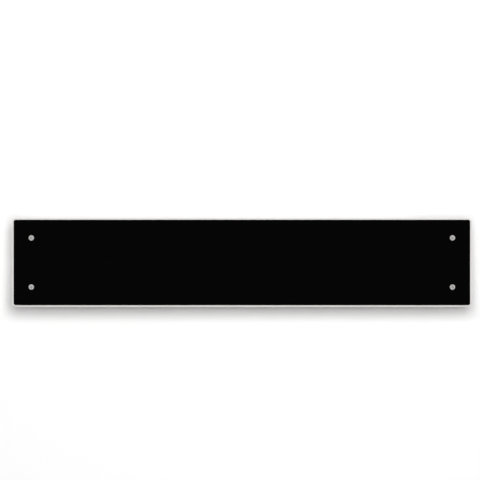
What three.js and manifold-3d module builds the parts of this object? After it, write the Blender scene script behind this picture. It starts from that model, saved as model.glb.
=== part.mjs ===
import * as THREE from 'three';
import { mergeVertices } from 'three/addons/utils/BufferGeometryUtils.js';
import Module from 'manifold-3d';

// A wall-hung electric radiator: a black glass front on a white steel casing, with a finned
// heating element, a control unit in the top right corner and a wall bracket behind.
// Sizes are millimetres. Everything is placed face-on: x to the right, y up and z out from the
// wall, with zero on the wall. The exported group turns that upright, so that +Z is up and the
// front looks along -Y.

// Driving dimensions of the whole radiator
const casingWidth = 1190;
const casingHeight = 230;
const rimShown = 4.75; // white rim of the casing round the glass, seen from the front
const wallGap = 18; // wall to the rear panel
const bodyDepth = 45; // rear panel to the rear edge of the front tray
const trayDepth = 12; // rear edge of the front tray to its sunk face
const glassGap = 4; // sunk face of the front tray to the glass
const glassThickness = 5;
const bodyInsetX = 20; // tray edge to the end of the body
const bodyInsetY = 18; // tray edge to the top or bottom of the body
const sheet = 1; // steel sheet of the casing
const seatGap = 0.3; // between pieces that rest on each other
const runningGap = 0.5; // between pieces that move past each other
const overrun = 2; // how far a cutting tool runs past what it cuts

// Planes and edges that follow from them
const bodyWidth = casingWidth - 2 * bodyInsetX;
const bodyHeight = casingHeight - 2 * bodyInsetY;
const bodyRight = bodyWidth / 2;
const bodyTop = bodyHeight / 2;
const panelFront = wallGap + sheet;
const trayRear = wallGap + bodyDepth;
const trayFront = trayRear + trayDepth;
const trayInside = trayFront - sheet;
const glassBack = trayFront + glassGap;
const glassFront = glassBack + glassThickness;
const bodyInnerBack = panelFront + seatGap; // where pieces fixed to the rear panel start
const bodyInnerFront = trayInside - seatGap;
const bodyMiddle = (bodyInnerBack + bodyInnerFront) / 2;

const glass = {
  width: casingWidth - 2 * rimShown,
  height: casingHeight - 2 * rimShown,
  cornerRadius: 5,
  arris: 0.6,
  screwInsetX: 46,
  screwInsetY: 46.75,
};
const screwX = glass.width / 2 - glass.screwInsetX;
const screwY = glass.height / 2 - glass.screwInsetY;

const glassScrew = {
  shankRadius: 4,
  shankLength: 18,
  tipChamfer: 0.8,
  headRadius: 7,
  headHeight: 4.4,
  headEdge: 0.9,
  crownRadius: 3.7,
  socketAcross: 5,
  socketDepth: 2.6,
};

const grommet = {
  sleeveWall: 1.2,
  rearFlangeRadius: 9,
  frontFlangeRadius: 6.6,
  frontFlangeThickness: 1,
};

const rivetNut = {
  wall: 1.3,
  flangeRadius: 6.8,
  flangeThickness: 1,
  bulgeRadius: 6.7,
  bulgeLength: 3,
  length: 14, // behind the front of the tray
};

const tray = {
  cornerRadius: 10,
  bendRadius: 1.2,
  rimGap: 0.4, // raised rim to the edge of the glass
  rimDrop: 2.5, // from the front of the glass back to the rim
};
const rimWidth = rimShown - tray.rimGap;
const rimFront = glassFront - tray.rimDrop;

const rearPanel = {
  cornerRadius: 3,
  beadRadius: 6,
  beadDepth: 2.5,
  beadEndInset: 70,
};

const flange = 12; // folded edge of the grilles
const capFlange = 14; // folded edge of the end caps
const foldRadius = 2; // outside radius of the grilles' folds

const vent = {
  slotWidth: 3.6,
  topPitch: 10.5,
  bottomPitch: 13,
  edgeMargin: 6, // from the fold to a slot's end
  endMargin: 22, // from the end of the body to the first slot
};

const rearScrew = {
  headRadius: 3.8,
  headHeight: 2.2,
  crownRadius: 1.9,
  shankRadius: 1.8,
  shankLength: 6,
  slotWidth: 1,
  slotDepth: 0.9,
  endInset: 35,
};

const element = {
  endInset: 55, // left end of the body to the fins
  electricsWidth: 195, // right end of the body to the fins
  rise: 45, // above the lower edge of the body
  airGap: 3.8, // from the fins to the heat shield and to the front tray
  finThickness: 2,
  hubRadius: 6.5,
  slitWidth: 2,
  slitPitch: 64,
  slitRoot: 10,
  rodRadius: 3.3,
  rodOverhang: 26,
  pinRadius: 1.5,
  pinLength: 10,
};
const elementLeft = -bodyRight + element.endInset;
const elementRight = bodyRight - element.electricsWidth;

const bush = {
  wall: 3,
  neckLength: 4,
  flangeRadius: 10,
  flangeLength: 3,
};

const elementBracket = {
  gap: 12, // from the end of the fins
  frontMargin: 9.5, // in front of the element's middle
  footWidth: 14,
  lowerReach: 32, // below the element
  upperReach: 30,
  cutoutReach: 42, // above the element where the cut-out sits
};

const shield = {
  sheet: 0.8,
  endGap: 10, // from the end of the fins
  standOff: 9.5,
  plateUp: 24, // above the element's height
  plateDown: 22,
  riserRun: 4,
  foot: 6,
};

const cutout = {
  rise: 30, // above the element
  radius: 8,
  length: 8,
  collarRadius: 10,
  collarLength: 1.5,
  tabWidth: 4,
  tabThickness: 0.8,
  tabLength: 8,
  tabSpread: 4, // each side of the middle
};

const terminals = {
  width: 44,
  height: 22,
  depth: 17,
  right: 82, // right end of the body to the block's right end
  rise: 56, // block's middle above the lower edge of the body
  pitch: 13,
  wellRadius: 2.4,
  wellDepth: 8,
  entryRadius: 2,
  entryDepth: 5,
};
const terminalX = bodyRight - terminals.right - terminals.width / 2;

const cordBushing = {
  right: 40, // right end of the body to its middle
  rise: 27,
  boreRadius: 4.2,
  wall: 2.6,
  flangeRadius: 10,
  flangeThickness: 3,
  innerLength: 12,
};

const earthStud = {
  right: 140,
  rise: 89,
  radius: 2,
  length: 12,
};

const rocker = {
  rise: 62, // above the lower edge of the body
  length: 21,
  width: 15.6,
  tilt: 8, // degrees each side of level
  pivotDepth: 3.4, // below the bezel's face
  pinRadius: 1.4,
  pinLength: 1.1,
  endRise: 2.2,
  middleRise: 0.6,
  heel: 8,
  heelHalfWidth: 3.5,
};

const switchBody = {
  bezelLength: 31,
  bezelWidth: 25,
  bezelThickness: 2,
  length: 27.4,
  width: 21.6,
  depth: 16,
  endClearance: 0.9,
  pocketDepth: 13.5,
  tabWidth: 6.3,
  tabThickness: 0.8,
  tabLength: 8,
  tabSpread: 7,
};

const control = {
  right: 9, // right end of the body to the bezel's right end
  rearMargin: 5, // back of the rear panel to the bezel
  frontMargin: 2, // bezel to the rear edge of the front tray
  bezelThickness: 5,
  bezelRadius: 4,
  bezelBevel: 1,
  cutoutMargin: 3.5, // bezel's overlap on the grille
  housingWall: 1.6,
  housingHeight: 36,
  housingMargin: 3, // from the end of the grille's opening to the housing
  boardThickness: 1.6,
  boardTop: 11, // below the top of the body
  postWidth: 6,
  entryWidth: 9,
  entryDepth: 7,
};
const boardTop = bodyTop - control.boardTop;
const boardUnder = boardTop - control.boardThickness;

const display = {
  width: 44,
  depth: 19,
  left: 9, // bezel's left end to the window
  right: 14, // window to the middle of the first button
  recess: 0.8,
};

const button = {
  radius: 5.6,
  rise: 1.2, // above the bezel
  pitch: 17,
  right: 15, // bezel's right end to the last button
  flangeRadius: 6.9,
  flangeThickness: 1.4,
  stemRadius: 1.5,
  travel: 0.8,
  iconDepth: 0.3,
  iconRadius: 2.2,
};

const bezelWidth = display.left + display.width + display.right + 2 * button.pitch + button.right;
const controlX = bodyRight - control.right - bezelWidth / 2;
const controlSpan = [wallGap + control.rearMargin, trayRear - control.frontMargin];
const controlMiddle = (controlSpan[0] + controlSpan[1]) / 2;
const bezelDepth = controlSpan[1] - controlSpan[0];

const keySwitch = {
  side: 6,
  height: 3.5,
  wellDepth: 2,
};

const relay = { width: 19, depth: 15.5, height: 15, left: 24 };
const capacitor = { radius: 5, height: 14, left: 50 };
const wireless = { width: 25, depth: 18, height: 3.2, right: 19 };

const bracket = {
  spread: 600, // between the uprights' middles
  sheet: 1.5,
  width: 40,
  topInset: 17, // below the upper edge of the body
  bottomInset: 11, // above its lower edge
  slotLength: 12,
  slotWidth: 5.5,
  screwInset: 53, // from either end of an upright to its screw slot
  railHeight: 28,
  railLip: 8,
};

const hook = {
  rise: 35, // notch floor above the lower edge of the body
  armHeight: 8,
  noseRise: 6,
  noseDepth: 6.5,
  slotWidth: 3.6,
  slotHeight: 16,
};

const latch = {
  thickness: 3,
  topRise: 6, // above the upper edge of the body
  tail: 4.9, // below its slot
  travel: 8,
  pinDrop: 45, // below the upper edge of the body
  pinRadius: 2.6,
  pinHeadRadius: 5,
  pinHeadThickness: 2,
  armWidth: 12,
  armDrop: 31, // arm's underside below the upper edge of the body
  armHeight: 7,
  lipDrop: 6,
  lipThickness: 4,
  tabDepth: 11,
};

const airSensor = {
  right: 75,
  footRadius: 5,
  footThickness: 2,
  postRadius: 2,
  postHeight: 6,
  beadRadius: 2.6,
  beadLength: 5,
};

const wireRadius = 1.3;
const leadRadius = 0.9;
const wireBend = 12; // how far a wire runs before it turns

// Finishes
const finish = {
  blackGlass: { color: 0x060606, roughness: 0.04, metalness: 0 },
  whitePaint: { color: 0xe9e6e1, roughness: 0.45, metalness: 0 },
  stainless: { color: 0xc2c2c0, roughness: 0.28, metalness: 1 },
  zinc: { color: 0xaeb2b5, roughness: 0.4, metalness: 1 },
  aluminium: { color: 0xd0d3d6, roughness: 0.35, metalness: 1 },
  rubber: { color: 0x1c1c1c, roughness: 0.8, metalness: 0 },
  blackPlastic: { color: 0x18191b, roughness: 0.5, metalness: 0 },
  whitePlastic: { color: 0xdedcd6, roughness: 0.5, metalness: 0 },
  smokedWindow: { color: 0x0a0b0d, roughness: 0.08, metalness: 0 },
  board: { color: 0x1f5c3a, roughness: 0.5, metalness: 0 },
  blueCase: { color: 0x2a5fa0, roughness: 0.45, metalness: 0 },
  ceramic: { color: 0xe9e3d6, roughness: 0.6, metalness: 0 },
  brownWire: { color: 0x5e3a22, roughness: 0.55, metalness: 0 },
  blueWire: { color: 0x2b62ad, roughness: 0.55, metalness: 0 },
  earthWire: { color: 0x7ba52b, roughness: 0.55, metalness: 0 },
  redWire: { color: 0xa3271f, roughness: 0.55, metalness: 0 },
};

const wasm = await Module();
wasm.setup();
const weldDistance = 1e-4;
const quarterTurn = Math.PI / 2;

// A closed geometry as a solid that can be joined and cut.
function solidOf(geometry) {
  const bare = new THREE.BufferGeometry();
  bare.setAttribute('position', geometry.getAttribute('position'));
  bare.setIndex(geometry.getIndex());
  const merged = mergeVertices(bare, weldDistance);
  const index = merged.getIndex().array;
  const triangles = [];
  for (let i = 0; i < index.length; i += 3) {
    const [a, b, c] = index.slice(i, i + 3);
    if (a !== b && b !== c && c !== a) triangles.push(a, b, c);
  }
  const vertProperties = new Float32Array(merged.getAttribute('position').array);
  return new wasm.Manifold(
    new wasm.Mesh({ numProp: 3, vertProperties, triVerts: new Uint32Array(triangles) }),
  );
}

function geometryOf(solid) {
  const mesh = solid.getMesh();
  const made = new THREE.BufferGeometry();
  made.setAttribute('position', new THREE.BufferAttribute(new Float32Array(mesh.vertProperties), 3));
  made.setIndex(new THREE.BufferAttribute(new Uint32Array(mesh.triVerts), 1));
  const faceted = made.toNonIndexed();
  faceted.computeVertexNormals();
  return faceted;
}

function join(first, ...others) {
  return geometryOf(others.reduce((whole, piece) => whole.add(solidOf(piece)), solidOf(first)));
}

function cut(first, ...tools) {
  if (tools.length === 0) return first;
  const tool = tools.slice(1).reduce((whole, piece) => whole.add(solidOf(piece)), solidOf(tools[0]));
  return geometryOf(solidOf(first).subtract(tool));
}

function centred(middle, size) {
  return [middle - size / 2, middle + size / 2];
}

// A block between two values of x, of y and of z.
function block([x0, x1], [y0, y1], [z0, z1]) {
  const made = new THREE.BoxGeometry(x1 - x0, y1 - y0, z1 - z0);
  return made.translate((x0 + x1) / 2, (y0 + y1) / 2, (z0 + z1) / 2);
}

// A straight round bar or hole along x, y or z; middle holds the other two coordinates in order.
function drum(axis, radius, [from, to], middle, sides = 16) {
  const made = new THREE.CylinderGeometry(radius, radius, to - from, sides);
  made.translate(0, (from + to) / 2, 0);
  return turnFromY(made, axis, middle);
}

// Turns a geometry made about y so that it stands about another axis, and moves it into place.
function turnFromY(geometry, axis, [u, v]) {
  if (axis === 'x') return geometry.rotateZ(-quarterTurn).translate(0, u, v);
  if (axis === 'z') return geometry.rotateX(quarterTurn).translate(u, v, 0);
  return geometry.translate(u, 0, v);
}

// A turned piece from a closed outline of [radius, distance along the axis] points.
function turned(axis, outline, middle, sides = 16) {
  const points = outline.map(([radius, along]) => new THREE.Vector2(radius, along));
  if (THREE.ShapeUtils.area(points) < 0) points.reverse();
  points.push(points[0].clone());
  return turnFromY(new THREE.LatheGeometry(points, sides), axis, middle);
}

// A flat outline carried along an axis. Along x the points are [z, y], along y [x, z], along z [x, y].
function prism(axis, outline, [from, to]) {
  const shaped = {
    x: ([z, y]) => new THREE.Vector2(-z, y),
    y: ([x, z]) => new THREE.Vector2(x, -z),
    z: ([x, y]) => new THREE.Vector2(x, y),
  };
  const shape = new THREE.Shape(outline.map(shaped[axis]));
  const made = new THREE.ExtrudeGeometry(shape, { depth: to - from, bevelEnabled: false });
  made.translate(0, 0, from);
  if (axis === 'x') made.rotateY(quarterTurn);
  if (axis === 'y') made.rotateX(-quarterTurn);
  return made;
}

function roundedRectangle(width, height, radius) {
  const x = width / 2 - radius;
  const y = height / 2 - radius;
  const shape = new THREE.Shape();
  shape.absarc(x, -y, radius, -quarterTurn, 0);
  shape.absarc(x, y, radius, 0, quarterTurn);
  shape.absarc(-x, y, radius, quarterTurn, 2 * quarterTurn);
  shape.absarc(-x, -y, radius, 2 * quarterTurn, 3 * quarterTurn);
  shape.closePath();
  return shape;
}

// A flat plate with rounded corners and eased edges on both faces.
function easedPlate(width, height, radius, [back, front], ease, easeSteps = 1) {
  const made = new THREE.ExtrudeGeometry(roundedRectangle(width, height, radius), {
    depth: front - back - 2 * ease,
    curveSegments: 3,
    bevelThickness: ease,
    bevelSize: ease,
    bevelOffset: -ease,
    bevelSegments: easeSteps,
  });
  return made.translate(0, 0, back + ease);
}

function plainPlate(width, height, radius, [back, front]) {
  const shape = roundedRectangle(width, height, radius);
  const made = new THREE.ExtrudeGeometry(shape, {
    depth: front - back,
    curveSegments: 2,
    bevelEnabled: false,
  });
  return made.translate(0, 0, back);
}

// The outline of a bent strip of sheet: the outside points, then the same line offset inwards.
function channelOutline([back, front], [root, crown], lip, thickness, radius) {
  const arcSteps = 3;
  const corner = (cx, cy, r, start) => {
    const points = [];
    for (let i = 0; i <= arcSteps; i += 1) {
      const angle = start - (i / arcSteps) * quarterTurn;
      points.push([cx + r * Math.cos(angle), cy + r * Math.sin(angle)]);
    }
    return points;
  };
  const inner = radius - thickness;
  const outside = [
    [back, crown - lip],
    ...corner(back + radius, crown - radius, radius, 2 * quarterTurn),
    ...corner(front - radius, crown - radius, radius, quarterTurn),
    [front, crown - lip],
  ];
  const inside = [
    [back + thickness, crown - lip],
    ...corner(back + radius, crown - radius, inner, 2 * quarterTurn),
    ...corner(front - radius, crown - radius, inner, quarterTurn),
    [front - thickness, crown - lip],
  ];
  return [...outside, ...inside.reverse()].map(([z, y]) => [z, y + root]);
}

// A wire or lead: a round section carried along a smooth line through the points.
function wire(points, radius, steps) {
  const sides = 8;
  const section = new THREE.Shape();
  for (let i = 0; i < sides; i += 1) {
    const angle = (i / sides) * 4 * quarterTurn;
    const [x, y] = [radius * Math.cos(angle), radius * Math.sin(angle)];
    if (i === 0) section.moveTo(x, y);
    else section.lineTo(x, y);
  }
  const path = new THREE.CatmullRomCurve3(
    points.map((p) => new THREE.Vector3(...p)),
    false,
    'centripetal',
  );
  return new THREE.ExtrudeGeometry(section, { steps, extrudePath: path });
}

const radiator = new THREE.Group();

function add(name, geometry, look) {
  const mesh = new THREE.Mesh(geometry, new THREE.MeshStandardMaterial(look));
  mesh.name = name;
  radiator.add(mesh);
  return mesh;
}

const corners = [
  { name: 'upper_left', x: -screwX, y: screwY },
  { name: 'upper_right', x: screwX, y: screwY },
  { name: 'lower_left', x: -screwX, y: -screwY },
  { name: 'lower_right', x: screwX, y: -screwY },
];
const sides = [
  { name: 'left', sign: -1 },
  { name: 'right', sign: 1 },
];

// Front glass, held by four screws in rubber grommets
const grommetBore = glassScrew.shankRadius + seatGap;
const grommetSleeve = grommetBore + grommet.sleeveWall;
const glassHole = grommetSleeve + seatGap;
const nutFlangeFront = trayFront + seatGap + rivetNut.flangeThickness;
const grommetFront = glassFront + seatGap + grommet.frontFlangeThickness;
const headBase = grommetFront + seatGap;

function frontGlass() {
  const plate = easedPlate(
    glass.width,
    glass.height,
    glass.cornerRadius,
    [glassBack, glassFront],
    glass.arris,
  );
  const span = [glassBack - overrun, glassFront + overrun];
  return cut(plate, ...corners.map(({ x, y }) => drum('z', glassHole, span, [x, y])));
}

function glassGrommet(x, y) {
  return turned(
    'z',
    [
      [grommetBore, nutFlangeFront + seatGap],
      [grommet.rearFlangeRadius, nutFlangeFront + seatGap],
      [grommet.rearFlangeRadius, glassBack - seatGap],
      [grommetSleeve, glassBack - seatGap],
      [grommetSleeve, glassFront + seatGap],
      [grommet.frontFlangeRadius, glassFront + seatGap],
      [grommet.frontFlangeRadius, grommetFront],
      [grommetBore, grommetFront],
    ],
    [x, y],
  );
}

// Button head screw with a domed crown and a hexagon socket.
function buttonHeadScrew(x, y) {
  const { shankRadius, shankLength, tipChamfer, headRadius, headHeight, headEdge, crownRadius } =
    glassScrew;
  const tip = headBase - shankLength;
  const domeSteps = 5;
  const outline = [
    [0, tip],
    [shankRadius - tipChamfer, tip],
    [shankRadius, tip + tipChamfer],
    [shankRadius, headBase],
    [headRadius, headBase],
  ];
  for (let i = 0; i <= domeSteps; i += 1) {
    const angle = (i / domeSteps) * quarterTurn;
    outline.push([
      crownRadius + (headRadius - crownRadius) * Math.cos(angle),
      headBase + headEdge + (headHeight - headEdge) * Math.sin(angle),
    ]);
  }
  outline.push([0, headBase + headHeight]);
  const top = headBase + headHeight;
  const hexagon = 6;
  const circumradius = glassScrew.socketAcross / 2 / Math.cos(quarterTurn / 3);
  const socket = drum(
    'z',
    circumradius,
    [top - glassScrew.socketDepth, top + overrun],
    [x, y],
    hexagon,
  );
  return cut(turned('z', outline, [x, y]), socket);
}

function blindRivetNut(x, y) {
  const bore = glassScrew.shankRadius + seatGap;
  const body = bore + rivetNut.wall;
  const bulgeFront = trayInside - seatGap;
  const bulgeBack = bulgeFront - rivetNut.bulgeLength;
  const tail = trayFront - rivetNut.length;
  return turned(
    'z',
    [
      [bore, tail],
      [body, tail],
      [body, bulgeBack],
      [rivetNut.bulgeRadius, (bulgeBack + bulgeFront) / 2],
      [body, bulgeFront],
      [body, trayFront + seatGap],
      [rivetNut.flangeRadius, trayFront + seatGap],
      [rivetNut.flangeRadius, nutFlangeFront],
      [bore, nutFlangeFront],
    ],
    [x, y],
  );
}

// Front tray: a pressed sheet with its edges turned back all round, and sunk behind the glass
// inside a raised rim
function frontTray() {
  const outer = easedPlate(
    casingWidth,
    casingHeight,
    tray.cornerRadius,
    [trayRear - tray.bendRadius - overrun, rimFront],
    tray.bendRadius,
    3,
  );
  const inner = easedPlate(
    casingWidth - 2 * sheet,
    casingHeight - 2 * sheet,
    tray.cornerRadius - sheet,
    [trayRear - tray.bendRadius - 2 * overrun, rimFront - sheet],
    tray.bendRadius - sheet,
    2,
  );
  const sunk = (inset, depths) =>
    plainPlate(
      casingWidth - 2 * inset,
      casingHeight - 2 * inset,
      tray.cornerRadius - inset,
      depths,
    );
  const hollow = cut(inner, sunk(rimWidth - sheet, [trayInside, rimFront]));
  const recess = sunk(rimWidth, [trayFront, rimFront + overrun]);
  const behind = block(
    [-casingWidth, casingWidth],
    [-casingHeight, casingHeight],
    [trayRear - trayDepth - 2 * overrun, trayRear],
  );
  const holeRadius = glassScrew.shankRadius + seatGap + rivetNut.wall + seatGap;
  const holes = corners.map(({ x, y }) =>
    drum('z', holeRadius, [trayInside - overrun, trayFront + overrun], [x, y]),
  );
  return cut(outer, hollow, recess, behind, ...holes);
}

// Rear panel, with stiffening grooves, slots for the wall bracket and a stud for the earth wire
const hookOffset = bracket.width / 2 - bracket.sheet / 2;
const notchFloor = hook.rise - bodyTop;
const armBottom = bodyTop - latch.armDrop;
const latchSlotBottom = armBottom - 2 * seatGap;
const latchSlotTop = armBottom + latch.armHeight + latch.travel + runningGap;
const earthStudHeight = earthStud.rise - bodyTop;
// The groove and the long wire run lie midway between the element's bracket and the latches.
const elementTop = element.rise - bodyTop + elementBracket.cutoutReach;
const laneHeight = (elementTop + armBottom - latch.lipDrop) / 2;
const rearScrewPlaces = [-1, 0, 1].flatMap((along) =>
  [1, -1].map((up) => ({
    x: along * (bodyRight - rearScrew.endInset),
    y: up * (bodyTop - flange / 2),
  })),
);
const rearScrewHole = rearScrew.shankRadius + seatGap;

function rearPanelSheet() {
  const { beadRadius, beadDepth, beadEndInset } = rearPanel;
  const span = [wallGap - overrun, panelFront + overrun];
  const beadSpan = [-bodyRight + beadEndInset, bodyRight - beadEndInset];
  const beadAxis = wallGap + beadDepth - beadRadius;
  const segment = (radius, floor) => {
    const half = Math.acos((floor - beadAxis) / radius);
    const arcSteps = 6;
    const points = [];
    for (let i = 0; i <= arcSteps; i += 1) {
      const angle = half - (2 * half * i) / arcSteps;
      points.push([beadAxis + radius * Math.cos(angle), laneHeight + radius * Math.sin(angle)]);
    }
    return points;
  };
  const ridge = prism('x', segment(beadRadius + sheet, wallGap + sheet / 2), beadSpan);
  const groove = prism('x', segment(beadRadius, beadAxis + sheet), [
    beadSpan[0] + sheet,
    beadSpan[1] - sheet,
  ]);
  const stud = drum(
    'z',
    earthStud.radius,
    [wallGap + sheet / 2, panelFront + earthStud.length],
    [bodyRight - earthStud.right, earthStudHeight],
    12,
  );
  const slots = sides.flatMap(({ sign }) => {
    const middle = (sign * bracket.spread) / 2;
    const hooks = [-hookOffset, hookOffset].map((offset) =>
      block(
        centred(middle + offset, hook.slotWidth),
        [notchFloor + seatGap - hook.slotHeight, notchFloor + seatGap],
        span,
      ),
    );
    const latchSlot = block(
      centred(middle, latch.armWidth + 2 * runningGap),
      [latchSlotBottom, latchSlotTop],
      span,
    );
    return [...hooks, latchSlot];
  });
  const bushingHole = drum(
    'z',
    cordBushing.boreRadius + cordBushing.wall + seatGap,
    span,
    [bodyRight - cordBushing.right, cordBushing.rise - bodyTop],
  );
  const screwHoles = rearScrewPlaces.map(({ x, y }) => drum('z', rearScrewHole, span, [x, y], 12));
  const plate = plainPlate(bodyWidth, bodyHeight, rearPanel.cornerRadius, [wallGap, panelFront]);
  return cut(join(plate, ridge, stud), groove, ...slots, bushingHole, ...screwHoles);
}

// Self-tapping screw from behind, with a slotted round head.
function rearPanelScrew(x, y) {
  const { headRadius, headHeight, crownRadius, shankRadius, shankLength } = rearScrew;
  const seat = wallGap - seatGap;
  const outline = [
    [0, seat + shankLength],
    [shankRadius / 2, seat + shankLength],
    [shankRadius, seat + shankLength - shankRadius],
    [shankRadius, seat],
    [headRadius, seat],
    [headRadius, seat - headHeight / 3],
    [crownRadius, seat - headHeight],
    [0, seat - headHeight],
  ];
  const slot = block(
    [x - headRadius - overrun, x + headRadius + overrun],
    [y - rearScrew.slotWidth / 2, y + rearScrew.slotWidth / 2],
    [seat - headHeight - overrun, seat - headHeight + rearScrew.slotDepth],
  );
  return cut(turned('z', outline, [x, y], 14), slot);
}

// Top and bottom grilles: folded channels with a row of slots across them
const grilleHalf = bodyRight - sheet - seatGap;
const slotSpan = [bodyInnerBack + vent.edgeMargin, trayRear - vent.edgeMargin / 2];
const controlOpening = {
  x: centred(controlX, bezelWidth - 2 * control.cutoutMargin),
  z: centred(controlMiddle, bezelDepth - 2 * control.cutoutMargin),
};

// Slots of one row, evenly pitched between two ends.
function slotRow([left, right], pitch, heights) {
  const count = Math.floor((right - left) / pitch);
  const first = (left + right) / 2 - (count * pitch) / 2;
  const row = [];
  for (let i = 0; i <= count; i += 1) {
    const x = first + i * pitch;
    row.push(block(centred(x, vent.slotWidth), heights, slotSpan));
  }
  return row;
}

function grille(up, openings) {
  const outline = channelOutline([bodyInnerBack, bodyInnerFront], [0, bodyTop], flange, sheet, foldRadius);
  const channel = prism('x', outline, [-grilleHalf, grilleHalf]);
  const holes = rearScrewPlaces
    .filter(({ y }) => y * up > 0)
    .map(({ x, y }) =>
      drum('z', rearScrewHole, [panelFront, bodyInnerBack + sheet + overrun], [x, y * up], 12),
    );
  const made = cut(channel, ...openings, ...holes);
  return up > 0 ? made : made.rotateZ(2 * quarterTurn);
}

const ventHeights = [bodyTop - sheet - overrun, bodyTop + overrun];
const ventLeft = -bodyRight + vent.endMargin;

function topGrille() {
  const ventRight = controlOpening.x[0] - vent.endMargin;
  const opening = block(controlOpening.x, ventHeights, controlOpening.z);
  return grille(1, [...slotRow([ventLeft, ventRight], vent.topPitch, ventHeights), opening]);
}

function bottomGrille() {
  return grille(-1, slotRow([ventLeft, -ventLeft], vent.bottomPitch, ventHeights));
}

// End caps: a folded sheet closes each end, and the right one carries the switch
const switchMiddle = [rocker.rise - bodyTop, bodyMiddle];

function endCap(sign) {
  const lips = bodyTop - flange - seatGap;
  const outside = bodyRight;
  const web = block([outside - sheet, outside], [-bodyTop, bodyTop], [bodyInnerBack, bodyInnerFront]);
  const fold = (z) => block([outside - capFlange, outside - sheet / 2], [-lips, lips], z);
  const rearFold = fold([bodyInnerBack, bodyInnerBack + sheet]);
  const frontFold = fold([bodyInnerFront - sheet, bodyInnerFront]);
  const cap = join(web, rearFold, frontFold);
  if (sign < 0) return cap.rotateY(2 * quarterTurn).translate(0, 0, bodyInnerBack + bodyInnerFront);
  const [y, z] = switchMiddle;
  const opening = block(
    [outside - sheet - overrun, outside + overrun],
    centred(y, switchBody.length + 2 * seatGap),
    centred(z, switchBody.width + 2 * seatGap),
  );
  return cut(cap, opening);
}

// Heating element: an X of aluminium fins on a sheathed rod, held at both ends
const shieldFace = bodyInnerBack + shield.standOff;
const shieldFront = shieldFace + shield.sheet;
const elementMiddle = [element.rise - bodyTop, (shieldFront + trayInside) / 2];
const finHalfDepth = (trayInside - shieldFront) / 2 - element.airGap;
const finReach = finHalfDepth / Math.cos(quarterTurn / 2) - element.finThickness / 2;

function elementFins() {
  const [y, z] = elementMiddle;
  const { finThickness, slitWidth, slitRoot, slitPitch } = element;
  const length = elementRight - elementLeft;
  const fin = (angle) =>
    new THREE.BoxGeometry(length, 2 * finReach, finThickness)
      .rotateX(angle)
      .translate((elementLeft + elementRight) / 2, y, z);
  const hub = drum('x', element.hubRadius, [elementLeft, elementRight], elementMiddle, 16);
  const bore = drum(
    'x',
    element.rodRadius + seatGap,
    [elementLeft - overrun, elementRight + overrun],
    elementMiddle,
    12,
  );
  const count = Math.floor(length / slitPitch) - 1;
  const slits = [];
  for (let i = 0; i <= count; i += 1) {
    const x = (elementLeft + elementRight) / 2 + (i - count / 2) * slitPitch;
    const span = centred(x, slitWidth);
    const reach = finReach + overrun;
    slits.push(block(span, [y + slitRoot, y + reach], [z - reach, z + reach]));
    slits.push(block(span, [y - reach, y - slitRoot], [z - reach, z + reach]));
  }
  return cut(join(fin(quarterTurn / 2), fin(-quarterTurn / 2), hub), bore, ...slits);
}

function elementRod() {
  const ends = [elementLeft - element.rodOverhang, elementRight + element.rodOverhang];
  const { rodRadius, pinRadius, pinLength } = element;
  const outline = [
    [0, ends[0] - pinLength],
    [pinRadius, ends[0] - pinLength],
    [pinRadius, ends[0]],
    [rodRadius, ends[0]],
    [rodRadius, ends[1]],
    [pinRadius, ends[1]],
    [pinRadius, ends[1] + pinLength],
    [0, ends[1] + pinLength],
  ];
  return turned('x', outline, elementMiddle, 12);
}

// The web of each element bracket, as a span of x
function bracketWeb(sign) {
  const end = sign < 0 ? elementLeft - elementBracket.gap : elementRight + elementBracket.gap;
  return sign < 0 ? [end - sheet, end] : [end, end + sheet];
}

function elementBush(sign) {
  const web = bracketWeb(sign);
  const bore = element.rodRadius + seatGap;
  const neck = bore + bush.wall;
  const face = sign < 0 ? web[0] - seatGap : web[1] + seatGap;
  const inward = face - sign * (sheet + 2 * seatGap + bush.neckLength);
  return turned(
    'x',
    [
      [bore, inward],
      [neck, inward],
      [neck, face],
      [bush.flangeRadius, face],
      [bush.flangeRadius, face + sign * bush.flangeLength],
      [bore, face + sign * bush.flangeLength],
    ],
    elementMiddle,
    16,
  );
}

function elementBracketSheet(sign) {
  const [y, z] = elementMiddle;
  const web = bracketWeb(sign);
  const top = y + (sign > 0 ? elementBracket.cutoutReach : elementBracket.upperReach);
  const heights = [y - elementBracket.lowerReach, top];
  const footSpan =
    sign < 0 ? [web[1] - elementBracket.footWidth, web[1]] : [web[0], web[0] + elementBracket.footWidth];
  const upright = block(web, heights, [bodyInnerBack, z + elementBracket.frontMargin]);
  const foot = block(footSpan, heights, [bodyInnerBack, bodyInnerBack + sheet]);
  const neck = element.rodRadius + seatGap + bush.wall + seatGap;
  const hole = drum('x', neck, [web[0] - overrun, web[1] + overrun], [y, z], 16);
  return cut(join(upright, foot), hole);
}

// Heat shield: a sheet stood off the rear panel behind the element
function heatShield() {
  const [y] = elementMiddle;
  const { plateUp, plateDown, riserRun, foot } = shield;
  const back = bodyInnerBack;
  const face = shieldFace;
  const t = shield.sheet;
  const outer = [
    [back, y - plateDown - riserRun - foot],
    [back, y - plateDown - riserRun],
    [face, y - plateDown],
    [face, y + plateUp],
    [back, y + plateUp + riserRun],
    [back, y + plateUp + riserRun + foot],
  ];
  const inner = outer.map(([z, height]) => [z + t, height]).reverse();
  const span = [elementLeft + shield.endGap, elementRight - shield.endGap];
  return prism('x', [...outer, ...inner], span);
}

// Overheat cut-out, on the upper end of the right element bracket
const cutoutMiddle = [elementMiddle[0] + cutout.rise, elementMiddle[1]];
const cutoutFace = bracketWeb(1)[1] + seatGap;
const cutoutTabEnd = cutoutFace + cutout.length + cutout.tabLength;

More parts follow.
